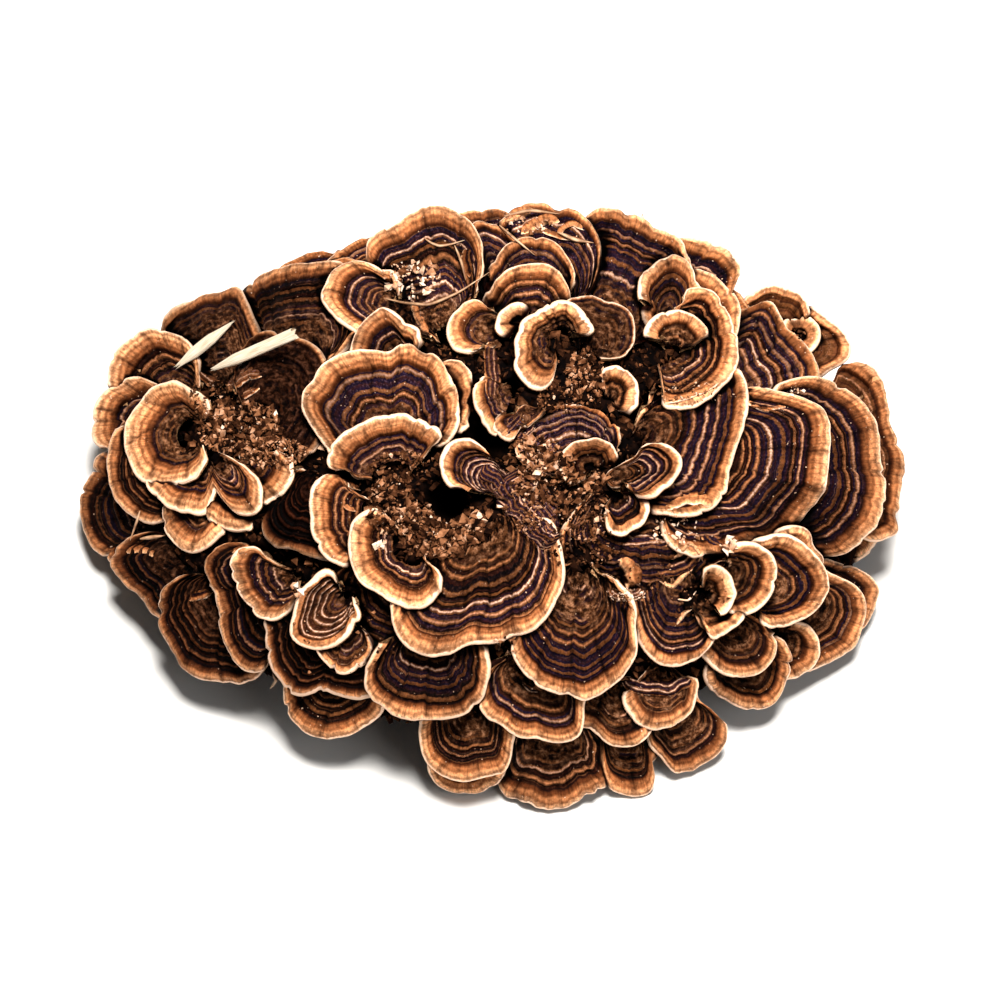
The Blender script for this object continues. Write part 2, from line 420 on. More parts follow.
# width of the outer zone and of one band in millimetres, then shares: how dark and how violet the deep bands
# are, how pale the lines between, how dim the whole, how wide the cream rim, how far out the litter reaches
LOOK_KEYS = ("zone", "period", "dark", "purple", "pale", "dim", "rim", "dust")
PLAIN_LOOK = (5, 2.6, 0.5, 0.45, 0.35, 0, 0.5, 0.36)
LOOKS = {
    "front_fan": (5.2, 3.7, 0.6, 0.6, 0.4, 0, 0.8, 0.36),
    "left_centre_cap": (6.6, 3.5, 0.5, 0.8, 0.55, 0, 0.4, 0.36),
    "hollow_upper_cap": (6, 2.6, 0.5, 0.8, 0.55, 0, 0.9, 0.5),
    "hollow_left_cap": (6.4, 2.1, 0.5, 0.5, 0.4, 0, 1, 0.36),
    "hollow_lower_cap": (6, 2.1, 0.5, 0.6, 0.5, 0, 0.8, 0.36),
    "twisted_cap": (3.4, 1.8, 0.4, 0.7, 1.2, 0, 0.9, 0.36),
    "cup_cap": (5, 2, 0.5, 0.45, 0.35, 0, 0.9, 0.6),
    "ear_cap": (4, 3.4, 0.9, 0.2, 0.1, 0, 0.5, 0.36),
    "brown_ridge_cap": (0.7, 2.6, 0.75, 0.6, 0.3, 0.45, 0.1, 0.9),
    "grey_cap": (1, 2.5, 0.45, 0.95, 1.4, 0, 0, 0.36),
    "right_main_cap": (6.6, 3.2, 0.8, 0.5, 0.3, 0.1, 0.6, 0.36),
    "right_outer_cap": (6.2, 3.2, 0.75, 0.5, 0.25, 0.25, 0.5, 0.36),
    "right_centre_cap": (4.4, 3.4, 0.85, 0.5, 0.35, 0.2, 0.7, 0.36),
    "far_right_cap": (5, 3.4, 0.15, 0.1, 0.1, 0.3, 0.5, 0.36),
    "upper_right_cap": (3.8, 3.4, 0.1, 0, 0.15, 0.15, 0.5, 0.36),
    "right_striped_cap": (2.8, 3.2, 0.5, 0.9, 0.6, 0, 0.5, 0.36),
    "striped_top_cap": (3, 3.1, 0.5, 0.95, 0.9, 0, 0.2, 0.36),
    "top_right_cap": (4.6, 3.2, 0.75, 0.7, 0.5, 0, 0.4, 0.45),
    "top_left_cap": (6, 3.1, 0.6, 0.5, 0.6, 0, 0.4, 0.36),
    "left_dark_cap": (2.6, 2.6, 0.95, 0.3, 0.05, 1, 0.3, 0.36),
    "lower_left_fan": (4.6, 3, 0.6, 0.3, 0.3, 0.4, 0.5, 0.36),
    "left_low_cap": (3.6, 2.6, 0.95, 0.3, 0.1, 0.75, 0.5, 0.55),
    "left_edge_cap": (4.2, 2.6, 0.9, 0.3, 0.15, 0.5, 0.5, 0.36),
    "left_shoulder_cap": (7.5, 2.6, 0.5, 0.4, 0.3, 0.15, 0.5, 0.4),
    "back_left_cap": (5, 3, 0.8, 0.4, 0.3, 0.45, 0.1, 0.62),
    "left_rosette_cap": (8, 1.9, 0.5, 0.4, 0.5, 0, 0.8, 0.5),
    "left_rosette_low_cap": (6.5, 1.9, 0.5, 0.4, 0.4, 0, 0.7, 0.45),
    "left_crown_cap": (4, 1.9, 0.5, 0.45, 0.35, 0.45, 0.2, 0.82),
    "low_crescent_cap": (3.4, 2.6, 0.97, 0.05, 0, 0.8, 1.6, 0.36),
    "lower_right_cap": (3, 2.5, 0.6, 0.8, 0.5, 0.2, 0.5, 0.36),
    "low_right_cap": (4.6, 2.5, 0.6, 0.15, 0.1, 0.1, 0.5, 0.7),
    "right_low_cap": (4.6, 2.5, 0.35, 0.15, 0.2, 0, 0.7, 0.45),
    "left_pale_cap": (6.5, 1.9, 0.5, 0.45, 0.35, 0, 0.5, 0.5),
    "low_left_cap": (5.6, 2.8, 0.75, 0.1, 0.3, 0, 0.5, 0.5),
    "bottom_cap": (5.4, 3, 0.8, 0.1, 0.35, 0, 0.5, 0.55),
    "low_middle_cap": (5, 2.8, 0.75, 0.2, 0.3, 0, 0.5, 0.55),
    "front_left_low_cap": (5, 2.8, 0.5, 0.1, 0.15, 0, 0.5, 0.36),
    "low_centre_cap": (5, 2.8, 0.75, 0.1, 0.15, 0, 0.5, 0.68),
    "lower_right_fan": (4.6, 2.8, 0.6, 0.6, 0.3, 0, 0.5, 0.5),
    "arch_cap": (4.8, 2.6, 0.5, 0.45, 0.35, 0, 0.5, 0.5),
    "curl_cap": (5, 2.6, 0.5, 0.45, 0.35, 0, 0.5, 0.6),
    "small_centre_cap": (3.4, 1.6, 0.5, 0.8, 0.7, 0, 0.5, 0.5),
    "inner_right_cap": (3.2, 2.4, 0.9, 0.4, 0.35, 0, 0.8, 0.36),
    "rolled_cap": (6, 2.6, 0.5, 0.45, 0.35, 0, 0.5, 0.4),
    "small_top_cap": (6, 2.6, 0.5, 0.45, 0.35, 0, 0.5, 0.36),
    "upright_cap": (4, 2.6, 0.95, 0.3, 0.1, 0.6, 0.5, 0.36),
    "lower_far_right_cap": (4.6, 2.6, 0.35, 0.1, 0.1, 0.2, 0.5, 0.6),
    "right_shelf_cap": (5.2, 2.6, 0.4, 0.3, 0.2, 0, 0.5, 0.5),
    "far_low_right_cap": (5.2, 2.6, 0.4, 0.2, 0.2, 0.15, 0.5, 0.55),
    "striped_small_cap": (2.6, 2.2, 0.3, 0.2, 1, 0, 1, 0.2),
    "inner_arch_cap": (3.6, 2.6, 0.85, 0.45, 0.35, 0, 0.5, 0.6),
    "grey_crest": (2.6, 2.5, 0.8, 0.3, 0.1, 0.2, 0, 0.36),
    "left_ring": (1.8, 3, 0.9, 0.4, 0.1, 0.9, 0, 0.95),
}

CORNER = 3.5  # rounding of a cap's free end
SIDE_ZONE = 4.0  # how much narrower the bands are along a free end than along the rim
SIDE_GROWTH = 2.0  # and how fast they get narrower still away from it
SIDE_BLEND = 1.2
SIDE_SWAY = 1.3  # how far a free end waves
SIDE_FADE = 6.0  # and how far in from it
OPEN_SIDED = ("twisted_cap", "grey_cap", "brown_ridge_cap", "striped_small_cap")  # no bands along their ends
ROLL = ((0.30, 0.10, 0.1), (0.45, 0.42, 0.5), (0.32, 0.80, 0.9))  # out, down, share of the underside's look
RIM_EDGE = -0.3  # what the rolled rim has for its distance from the rim
CREST = 0.58  # where in a band its pale line and its ridge are
COVER_WIDTH = 2.0  # over what width a sheet sinks under another of its own cap
COVER_DROP = 0.9  # and how far
FULL_TURN = 6.2  # a lobe that turns further has no free end
END_SHARES = (0.9, 0.7, 0.5)  # where along an end it is looked whether it is free
LEAST_GRID = (14, 10)  # least columns and rows of a sheet's upper face
LONG_REACH = 80  # the percentile of its reaches that stands for a lobe
STRETCH_LIMITS = (0.85, 2.2)  # least and most of how much denser the bands lie where the reach is short
STRETCH_POWER = 0.6
LITTER_EDGE = 5.0  # how sharply the littered root ends

SCALLOP = 6.5  # length of a rim's small lobe
CREASE_GAP = 11.0  # about how far apart the creased places are
CREASE_SHARE = (0.5, 1.4)  # how strong they are on average, and how much that varies
CREASE_REACH = 6.0  # how far inward a crease fades
JAG = (0.25, 1.9)  # height and length of the rim's fine teeth
PLEAT = 9.5  # from one long crack to the next
PLEAT_SWAY = (0.35, 9.0, 30.0)  # how far a crack sways, and the size of its waves inward and along
CRACK_DEPTH = 0.35
CRACK_STRENGTH = (0.4, 1.6)  # of the faintest crack, and what its pleat's level adds
CRACK_START = (0.3, 1.6)  # how far a crack has begun at the rim, and over what width it begins
PLEAT_HEIGHT = 0.12
PLEAT_SHIFT = 0.5  # how far a pleat shifts the bands
RIM_CALM = 4.0  # over this width from the rim, the bands start to sway and the pleats to differ
BAND_SWAY = 0.42  # in bands
ZONE_END = (4.0, 0.6)  # how sharply the ridges begin at the outer zone's end, and how far they have there
RUFFLE = (1.1, 11.0, 0.7)  # height at the rim, length, and how fast it changes inward
SCALLOP_HEIGHT = 0.5
SCALLOP_INSET = 0.15
CREASE_SHARPNESS = 6.0
RIDGE = (0.38, 0.12, 0.25)  # height of its wave and of the wave twice as short, then how far it is lowered
ZONE_ROLL = 0.65  # how far the outer zone bulges
ZONE_RINGS = (0.12, 2.9)  # height and closeness of its fine rings
FOLD_DEPTH = 0.9
LIP = (0.5, 1.5)  # how far the rim turns down, and over what width
# ripples: height, size along the rim and inward (inward and along for the ridges), and what the seed gets
BAND_RIPPLES = ((0.8, 11.0, 15.0, 11.0), (0.3, 3.2, 8.0, 12.0))
WRINKLES = ((0.24, 1.6, 7.0, 9.0), (0.3, 4.5, 12.0, 8.0), (0.2, 2.2, 2.2, 6.0))
FINE_RIDGES = ((0.08, 1.0 / 1.1, 20.0, 7.0),)
ROOT_CRUMBLE = ((0.4, 0.9, 0.9, 5.0),)


def waves(rows, along, edge, seed):
    """Ripples laid over each other."""
    return sum(height * ripple(along / wide, edge / deep, seed + own) for height, wide, deep, own in rows)


def is_free(lobes, index, angle):
    """Whether the end of a lobe at an angle lies outside the other lobes of its cap."""
    lobe = lobes[index]
    if lobe.end - lobe.start > FULL_TURN:
        return False
    reach = float(lobe.reach_at(np.array([angle]))[0])
    covered = 0
    for share in END_SHARES:
        across = lobe.hub[0] + share * reach * math.cos(angle)
        up = lobe.hub[1] + share * reach * math.sin(angle)
        others = (other for other in lobes if other.node == lobe.node and other is not lobe)
        covered += any(other.outside(across, up) < 0.0 for other in others)
    return covered < 2


def scallops(along, seed):
    """The rim's small lobes, and from 0 to 1 where a crease parts two of them."""
    wave = np.abs(ripple(along / SCALLOP, 0.5, seed + 20.0))
    some = np.clip(CREASE_SHARE[0] + CREASE_SHARE[1] * ripple(along / CREASE_GAP, 7.5, seed), 0.0, 1.0)
    crease = np.clip(1.0 - wave * CREASE_SHARPNESS, 0.0, 1.0) * some
    jag = JAG[0] * ripple(along / JAG[1], 3.0, seed)
    return SCALLOP_HEIGHT * wave + jag - crease - SCALLOP_INSET, crease


def pleats(along, edge, seed):
    """A number from -1 to 1 for each pleat between two long cracks, and from 0 to 1 where a crack runs."""
    sway, deep, wide = PLEAT_SWAY
    place = along / PLEAT + sway * ripple(edge / deep, along / wide, seed + 40.0) + seed * 0.37
    part = place % 1.0
    level = ripple(np.floor(place) * 1.7 + 0.5, seed * 0.9, 3.0)
    crack = np.clip(1.0 - np.minimum(part, 1.0 - part) * PLEAT, 0.0, 1.0)
    strength = np.clip(CRACK_STRENGTH[0] + np.abs(level) * CRACK_STRENGTH[1], 0.0, 1.0)
    return level, crack * strength * smooth_step(CRACK_START[0] + edge / CRACK_START[1])


def own_cover(lobes, index, across, up):
    """From 0 to 1 where an earlier lobe of the same cap lies over this one."""
    own = lobes[index]
    cover = np.zeros(np.shape(across))
    for lobe in lobes[:index]:
        if lobe.node == own.node and lobe.sight is own.sight:
            cover = np.maximum(cover, smooth_step(-lobe.outside(across, up) / COVER_WIDTH))
    return cover


def banding(edge, along, look, level, seed):
    """Swaying distance from the rim in millimetres, and the number of bands between it and the outer zone."""
    sway = waves(BAND_RIPPLES, along, edge, seed) + PLEAT_SHIFT * level
    waved = np.maximum(edge + smooth_step(edge / RIM_CALM) * sway, 0.0)
    band = (waved - look["zone"]) / look["period"] + BAND_SWAY * ripple(waved / 5.0, 0.5, seed + 13.0)
    return waved, band


def ruffle(along, shares, seed):
    """Height of the slow waves that grow towards the rim."""
    height, wide, deep = RUFFLE
    return height * shares**3 * ripple(along / wide, shares * deep, seed)


def surface_relief(along, edge, shares, waved, band, crease, zone, seed):
    """Height over the smooth sheet: ruffles, rolled outer zone, a ridge for each band, creases, wrinkles."""
    turn = (band - CREST) % 1.0 * 2.0 * math.pi
    inner = smooth_step(band * ZONE_END[0] + ZONE_END[1])
    ridge = inner * (RIDGE[0] * np.cos(turn) + RIDGE[1] * np.cos(turn * 2.0) - RIDGE[2])
    swell = ZONE_ROLL * np.sin(np.clip(waved / zone, 0.0, 1.0) * math.pi)
    roll = (1.0 - inner) * (swell + ZONE_RINGS[0] * np.cos(waved * ZONE_RINGS[1]))
    fine = waves(FINE_RIDGES, waved, along, seed) + waves(WRINKLES, along, edge, seed) * shares
    fold = -FOLD_DEPTH * crease * np.exp(-edge / CREASE_REACH)
    lip = -LIP[0] * np.clip(1.0 - edge / LIP[1], 0.0, 1.0) ** 2
    return ruffle(along, shares, seed) + ridge + roll + fine + fold + lip


def fill(values, shape, look, **fixed):
    """Adds the values that are the same all over a grid."""
    fixed.update({key: value for key, value in look.items() if key != "period"})
    values.update({key: np.full(shape, value) for key, value in fixed.items()})


def sheet(lobes, index):
    """Points and attributes of one dense sheet: upper face, rolled rim, then lower face, in columns."""
    lobe, seed = lobes[index], index + 1.0
    look = dict(zip(LOOK_KEYS, LOOKS.get(lobe.look, PLAIN_LOOK)))
    coarse = 1.0 if lobe.sight is FRONT else TIER_COARSER
    mean = float(lobe.reach.mean())
    start, end = lobe.start + math.radians(lobe.trim[0]), lobe.end - math.radians(lobe.trim[1])
    columns = max(LEAST_GRID[0], round((end - start) * mean / (ALONG_STEP * coarse)))
    rows = max(LEAST_GRID[1], round(lobe.reach.max() * (1.0 - lobe.root) / (IN_STEP * coarse)))
    plain = np.linspace(start, end, columns)[:, None]
    along = plain * mean
    scallop, crease = scallops(along, seed)
    sides = ((is_free(lobes, index, start), plain - start), (is_free(lobes, index, end), end - plain))
    ends = [turn * mean if free else np.full_like(plain, FAR) for free, turn in sides]
    near = np.clip(CORNER - np.minimum(*ends), 0.0, CORNER)
    rim = lobe.reach_at(plain) + scallop - (CORNER - np.sqrt(np.maximum(CORNER**2 - near**2, 0.0)))
    shares = (lobe.root + (1.0 - lobe.root) * np.linspace(0.0, 1.0, rows))[None, :]
    under = np.array([share for share in UNDER_ROWS if share > lobe.root] + [lobe.root])[None, :]
    radius = rim * np.concatenate((shares, under), axis=1)
    angles = plain + 0.0 * radius
    for k, side in enumerate(ends):
        fade = np.clip(1.0 - side / SIDE_FADE, 0.0, 1.0)
        angles = angles + SIDE_SWAY * ripple(radius / 4.0, k, seed + 30.0) * fade / np.maximum(radius, 4.0)
    across = lobe.hub[0] + radius * np.cos(angles)
    up = lobe.hub[1] + radius * np.sin(angles)
    cover = own_cover(lobes, index, across, up)
    points = lobe.sight.place(across, up, settle(lobes, index, across, up) - COVER_DROP * cover)
    top, low = points[:, :rows], points[:, rows:]

    edge = rim * (1.0 - shares)
    for free, turn in sides:
        if free and lobe.node not in OPEN_SIDED:
            side = np.maximum(turn, 0.0) * rim * shares
            edge = soft_min(edge, SIDE_ZONE * side + SIDE_GROWTH * side**2, SIDE_BLEND)
    edge = np.maximum(edge, 0.0)
    level, crack = pleats(along + 0.0 * edge, edge, seed)
    stretch = np.clip(np.percentile(rim, LONG_REACH) / rim, *STRETCH_LIMITS) ** STRETCH_POWER
    waved, band = banding(edge * stretch, along, look, level, seed)
    relief = surface_relief(along, edge, shares, waved, band, crease, look["zone"], seed)
    relief = relief - CRACK_DEPTH * crack + PLEAT_HEIGHT * level * smooth_step(edge / RIM_CALM)
    littered = smooth_step((look["dust"] - shares) * LITTER_EDGE + 0.5)
    relief = (relief + waves(ROOT_CRUMBLE, along, edge, seed) * littered) * (1.0 - cover[:, :rows])
    normals = unit(np.cross(np.gradient(top, axis=1), np.gradient(top, axis=0)))
    steady = unit(normals + lobe.normal * STEADY)
    top = top + relief[..., None] * normals
    outward = unit(top[:, -1] - top[:, -3])
    thick = ROOT_THICKNESS + (RIM_THICKNESS - ROOT_THICKNESS) * under[0]
    picks = [int(round((share - lobe.root) / (1.0 - lobe.root) * (rows - 1))) for share in under[0]]
    lift = ruffle(along, under, seed)[..., None]
    low = low + (lift - thick[None, :, None]) * steady[:, picks]
    rolled = [top[:, -1] + outward * out - steady[:, -1] * down * RIM_THICKNESS for out, down, _ in ROLL]
    grid = np.concatenate((top, np.stack(rolled, axis=1), low), axis=1)
    grid[..., 2] = np.maximum(grid[..., 2], GROUND_GAP)

    shape = grid.shape[:2]
    ones = np.ones((columns, len(ROLL)))
    back = rim * (1.0 - under)
    cracked = np.maximum(crack, crease * np.exp(-edge / CREASE_REACH))
    below = np.concatenate((np.zeros(rows), [share for _, _, share in ROLL], np.ones(under.shape[1])))
    values = {
        "edge": np.concatenate((edge, RIM_EDGE * ones, back), axis=1),
        "waved": np.concatenate((waved, RIM_EDGE * ones, back), axis=1),
        "band": np.concatenate((band, -ones, np.ones(back.shape)), axis=1),
        "crack": np.concatenate((cracked, 0.0 * ones, 0.0 * back), axis=1),
        "along": np.broadcast_to(along, shape),
        "under": np.broadcast_to(below[None, :], shape),
        "root": np.broadcast_to(np.concatenate((shares, ones[:1], under), axis=1), shape),
    }
    fill(values, shape, look, seed=seed)
    return grid, values, rows


def grid_faces(columns, rows, first):
    """Quads of a grid whose rows run round each column, closed past the last row."""
    c = np.arange(columns - 1)[:, None]
    r = np.arange(rows)[None, :]
    n = (r + 1) % rows
    quad = np.stack((c * rows + r, c * rows + n, (c + 1) * rows + n, (c + 1) * rows + r), axis=-1)
    return quad.reshape(-1, 4) + first


def add_mesh(name, points, faces, values, material):
    """A mesh object from arrays: millimetre points, quads or triangles, and one value a point by name."""
    mesh = bpy.data.meshes.new(name)
    size = faces.shape[1]
    mesh.vertices.add(len(points))
    mesh.vertices.foreach_set("co", (points * MM).astype(np.float32).ravel())
    mesh.loops.add(len(faces) * size)
    mesh.loops.foreach_set("vertex_index", faces.astype(np.int32).ravel())
    mesh.polygons.add(len(faces))
    mesh.polygons.foreach_set("loop_start", (np.arange(len(faces)) * size).astype(np.int32))
    mesh.update(calc_edges=True)
    for key, value in values.items():
        set_values(mesh, key, value)
    mesh.validate()
    mesh.shade_smooth()
    mesh.materials.append(material)
    item = bpy.data.objects.new(name, mesh)
    bpy.context.scene.collection.objects.link(item)
    return item


def set_values(mesh, key, values):
    layer = mesh.attributes.new(key, "FLOAT", "POINT")
    layer.data.foreach_set("value", np.asarray(values, dtype=np.float32).ravel())


def add_grids(name, grids, material):
    """One mesh object from several grids, each with its points and its values."""
    firsts = np.cumsum([0] + [points.shape[0] * points.shape[1] for points, _ in grids])
    points = np.concatenate([points.reshape(-1, 3) for points, _ in grids])
    faces = np.concatenate([grid_faces(*grid.shape[:2], first) for (grid, _), first in zip(grids, firsts)])
    values = {key: np.concatenate([own[key].ravel() for _, own in grids]) for key in grids[0][1]}
    return add_mesh(name, points, faces, values, material)


def build_caps(lobes, material):
    """One joined dense piece for each cap, with each sheet's columns, rows and rows of its upper face."""
    pieces = {}
    for name in dict.fromkeys(lobe.node for lobe in lobes if lobe.node != MOUND):
        sheets = [sheet(lobes, i) for i, lobe in enumerate(lobes) if lobe.node == name]
        piece = add_grids(f"{name}_sheet", [(grid, values) for grid, values, _ in sheets], material)
        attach(piece, "root")
        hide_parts(name)
        pieces[piece] = [(*grid.shape[:2], upper) for grid, _, upper in sheets]
    return pieces


OPEN_REACH = 16.0 * MM  # how far a point looks for what stands over it
OPEN_START = 0.5 * MM
OPEN_STEP = 3  # one point in this many, along and across a sheet, is looked from
OPEN_WAYS = 14
OPEN_LOSS = 0.6  # how much less the furthest thing shades than the nearest
OPEN_BELOW = 0.8
GOLDEN_TURN = 2.39996
SLANT = (0.31, 0.87, 0.38)


def ways_out(count):
    """Directions spread over a half ball round +Z, more of them near its middle."""
    number = np.arange(count) + 0.5
    turn, rise = number * GOLDEN_TURN, np.sqrt(1.0 - number / count)
    flat = np.sqrt(1.0 - rise**2)
    return np.stack((np.cos(turn) * flat, np.sin(turn) * flat, rise), axis=1)


def openness(tree, points, normals):
    """How open each point is, from 0 in a closed gap to 1 under a free sky. Points are in metres."""
    ways = ways_out(OPEN_WAYS)
    shares = np.ones(len(points))
    for k, (point, normal) in enumerate(zip(points, normals)):
        side = unit(np.cross(normal, SLANT))
        turned = ways @ np.stack((side, np.cross(normal, side), normal))
        start = Vector(point + normal * OPEN_START)
        found = [tree.ray_cast(start, Vector(way), OPEN_REACH)[3] for way in turned]
        blocked = sum(1.0 - OPEN_LOSS * distance / OPEN_REACH for distance in found if distance is not None)
        shares[k] = 1.0 - blocked / OPEN_WAYS
    return shares


def read_points(mesh):
    """Places and normals of a mesh's points."""
    found = []
    for key in ("co", "normal"):
        values = np.zeros(len(mesh.vertices) * 3, np.float32)
        mesh.vertices.foreach_get(key, values)
        found.append(values.reshape(-1, 3).astype(float))
    return found


def mark_open_caps(tree, pieces):
    """How open the upper faces are, found at some points and filled in between."""
    for piece, sheets in pieces.items():
        points, normals = read_points(piece.data)
        shares = np.full(len(points), OPEN_BELOW)
        first = 0
        for columns, rows, upper in sheets:
            picks = first + np.arange(columns * rows).reshape(columns, rows)
            first += columns * rows
            some_columns = np.unique(np.append(np.arange(0, columns, OPEN_STEP), columns - 1))
            some_rows = np.unique(np.append(np.arange(0, upper, OPEN_STEP), upper - 1))
            chosen = picks[np.ix_(some_columns, some_rows)]
            found = openness(tree, points[chosen.ravel()], normals[chosen.ravel()]).reshape(chosen.shape)
            wide = np.stack([np.interp(np.arange(upper), some_rows, row) for row in found])
            full = np.stack([np.interp(np.arange(columns), some_columns, line) for line in wide.T], axis=1)
            shares[picks[:, :upper]] = full
            shares[picks[:, upper:upper + len(ROLL)]] = full[:, -1:]
        set_values(piece.data, "open", shares)


# ---------------------------------------------------------------- litter

# where the bed is sunk: picture position, radius in pixels, depth in millimetres
HOLLOWS = (
    (448, 500, 26, 11.0), (480, 442, 30, 8.0), (560, 425, 26, 4.0), (628, 490, 16, 8.0), (618, 622, 14, 6.0),
    (586, 466, 15, 6.0), (250, 450, 30, 3.0), (511, 388, 9, 6.0), (650, 402, 11, 6.0), (445, 325, 16, 6.0),
)
HOLLOW_RIM = 1.3
CLEAR_DEPTH = 5.0  # no crumbs lie in a hollow deeper than this
CLEAR_SHARE = 0.8
BED_ROUGH = (5.0, 2.0, 1.7, 0.7)  # size and height of its lumps, then of its grains
BED_FRACTAL = (0.8, 2.1, 4)  # increment, gap and number of the lumps' octaves
LUMP_LIMITS = (-1.1, 0.5)  # deepest and highest, before the height is applied
BED_TONE = (0.02, 0.16)  # paleness on average, and what the lumps add

# where crumbs lie: picture position, half width and height in pixels, number, least and most size, paleness
CRUMB_BEDS = (
    (240, 428, 42, 28, 780, 0.9, 3, 0.5), (272, 452, 34, 16, 390, 0.8, 2.4, 0.55),
    (215, 398, 26, 18, 180, 0.7, 2.2, 0.5), (440, 528, 44, 30, 840, 0.9, 3.2, 0.5),
    (392, 505, 26, 30, 390, 0.8, 2.6, 0.5), (405, 465, 34, 14, 180, 0.7, 2.2, 0.45),
    (560, 478, 46, 26, 420, 0.8, 3.2, 0.44), (535, 455, 26, 20, 230, 0.8, 3.2, 0.58),
    (584, 508, 24, 36, 330, 0.7, 2.4, 0.4), (545, 505, 22, 30, 120, 0.6, 1.8, 0.5),
    (580, 545, 40, 22, 180, 0.6, 1.8, 0.4), (586, 376, 20, 28, 195, 0.8, 2.6, 0.6),
    (560, 400, 24, 14, 90, 0.7, 2, 0.55), (690, 393, 34, 12, 90, 0.5, 1.4, 0.6),
    (528, 224, 26, 9, 40, 0.8, 2.4, 0.8), (525, 505, 20, 30, 160, 0.6, 1.8, 0.5),
    (412, 278, 28, 20, 110, 0.8, 3, 0.85), (676, 530, 24, 18, 60, 0.8, 2.2, 0.85),
    (728, 545, 8, 8, 18, 1.2, 3, 0.95), (628, 595, 19, 6, 60, 0.4, 1.2, 0.98),
    (672, 590, 60, 30, 90, 0.5, 1.6, 0.4), (340, 640, 60, 40, 60, 0.5, 1.6, 0.4),
    (380, 545, 5, 6, 7, 2, 3.2, 0.9), (296, 590, 6, 6, 7, 1.8, 3.2, 0.95),
    (797, 392, 8, 6, 15, 0.8, 1.6, 0.9), (800, 334, 6, 6, 24, 0.6, 1.6, 0.35),
    (505, 646, 12, 9, 39, 0.8, 2.2, 0.65),
)
CRUMB_CORNERS = np.array(((1, 0, 0), (-1, 0, 0), (0, 1, 0), (0, -1, 0), (0, 0, 1), (0, 0, -1)), dtype=float)
CRUMB_FACES = np.array(
    ((0, 2, 4), (2, 1, 4), (1, 3, 4), (3, 0, 4), (2, 0, 5), (1, 2, 5), (3, 1, 5), (0, 3, 5))
)
CRUMB_SMALLER = 2.2  # the higher, the more of them are small
CRUMB_VARIES = 0.17  # how much their paleness does
CRUMB_LIMITS = (0.15, 1.0)  # least and most paleness
CRUMB_JITTER = 0.42
CRUMB_STRETCH = (0.3, 1.25)
CRUMB_SEAT = 0.45  # how high one lies at most, in its own sizes
CRUMB_OPEN = 0.12  # added to its openness
BARE_TRIES = 14000  # looks for bare places of the mound from all round
BARE_AIM = 40.0 * MM  # how far from the middle of the cut the looks aim
BARE_FROM = 0.3  # and from how far, in metres
BARE_SIZE = (1.0, 3.0)  # least size of such a crumb, and what chance adds at most
BARE_TONE = (0.26, 0.14)  # paleness on average, and how much it varies
BARE_LIMITS = (0.05, 0.8)  # least and most paleness
BARE_SEAT = 0.15
CRUMB_GROUND = (-FAR, -FAR, 0.2)


def foot_share(points):
    """What share of the mound's width is left where its foot is drawn in, as in the solid."""
    drawn = np.zeros(len(points))
    for middle, half, share in FOOT_SECTORS:
        turn = np.degrees(np.arctan2(points[:, 1], points[:, 0])) - middle
        turn = np.abs((turn + 180.0) % 360.0 - 180.0)
        drawn += share * (1.0 - smooth_step((turn - half) / FOOT_FADE))
    return 1.0 - drawn * (1.0 - smooth_step(points[:, 2] / FOOT_HEIGHT))


def pixel(x, y):
    """A picture position on the plane, in millimetres."""
    return (x - PICTURE_MIDDLE[0]) * PIXEL, (PICTURE_MIDDLE[1] - y) * PIXEL


def build_mound(material):
    """The litter bed over the plain mound: rough, grainy, and sunk in the dark hollows."""
    mesh = bmesh.new()
    bmesh.ops.create_icosphere(mesh, subdivisions=MOUND_DETAIL, radius=1.0)
    ball = np.array([vert.co for vert in mesh.verts])
    faces = np.array([[vert.index for vert in face.verts] for face in mesh.faces])
    mesh.free()
    lumps = np.array([noise.noise(Vector(co) * MOUND_AXES[0] / LUMP_SIZE) for co in ball])
    points = ball * MOUND_AXES * (1.0 + MOUND_LUMPS * lumps / MOUND_AXES[2])[:, None]
    points[:, :2] *= foot_share(points)[:, None]
    way = unit(ball / MOUND_AXES)
    lump_size, lump_height, grain_size, grain_height = BED_ROUGH
    rough = np.array([noise.fractal(Vector(p) / lump_size, *BED_FRACTAL) for p in points])
    fine = np.array([noise.noise(Vector(p) / grain_size) for p in points])
    points += way * (np.clip(rough, *LUMP_LIMITS) * lump_height + grain_height * fine)[:, None]
    spots = FRONT.spot(points)
    dark = np.zeros(len(points))
    for x, y, radius, depth in HOLLOWS:
        near = np.hypot(*(spots - pixel(x, y)).T) / (radius * PIXEL)
        dent = smooth_step(HOLLOW_RIM - near) * (way @ FRONT.toward > 0.0)
        points -= FRONT.toward * (dent * depth)[:, None]
        dark = np.maximum(dark, dent)
    points[:, 2] = np.maximum(points[:, 2], 0.0)
    above = (points[faces][:, :, 2] > 0.0).any(axis=1)
    faces = faces[above | (ball[faces][:, :, 2].max(axis=1) < -0.2)]
    used, inverse = np.unique(faces, return_inverse=True)
    values = {"tone": BED_TONE[0] + BED_TONE[1] * (rough + fine)[used], "hollow": dark[used]}
    piece = add_mesh("litter_bed", points[used], inverse.reshape(faces.shape), values, material)
    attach(piece, "root")
    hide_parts(MOUND)
    return piece


def sight_tree(pieces):
    """A tree to cast rays at, in metres. The first piece's faces come first."""
    vertices, polygons, first = [], [], 0
    for piece in pieces:
        points, _ = read_points(piece.data)
        vertices.append(points)
        polygons += [tuple(v + first for v in polygon.vertices) for polygon in piece.data.polygons]
        first += len(points)
    return BVHTree.FromPolygons(np.concatenate(vertices).tolist(), polygons)


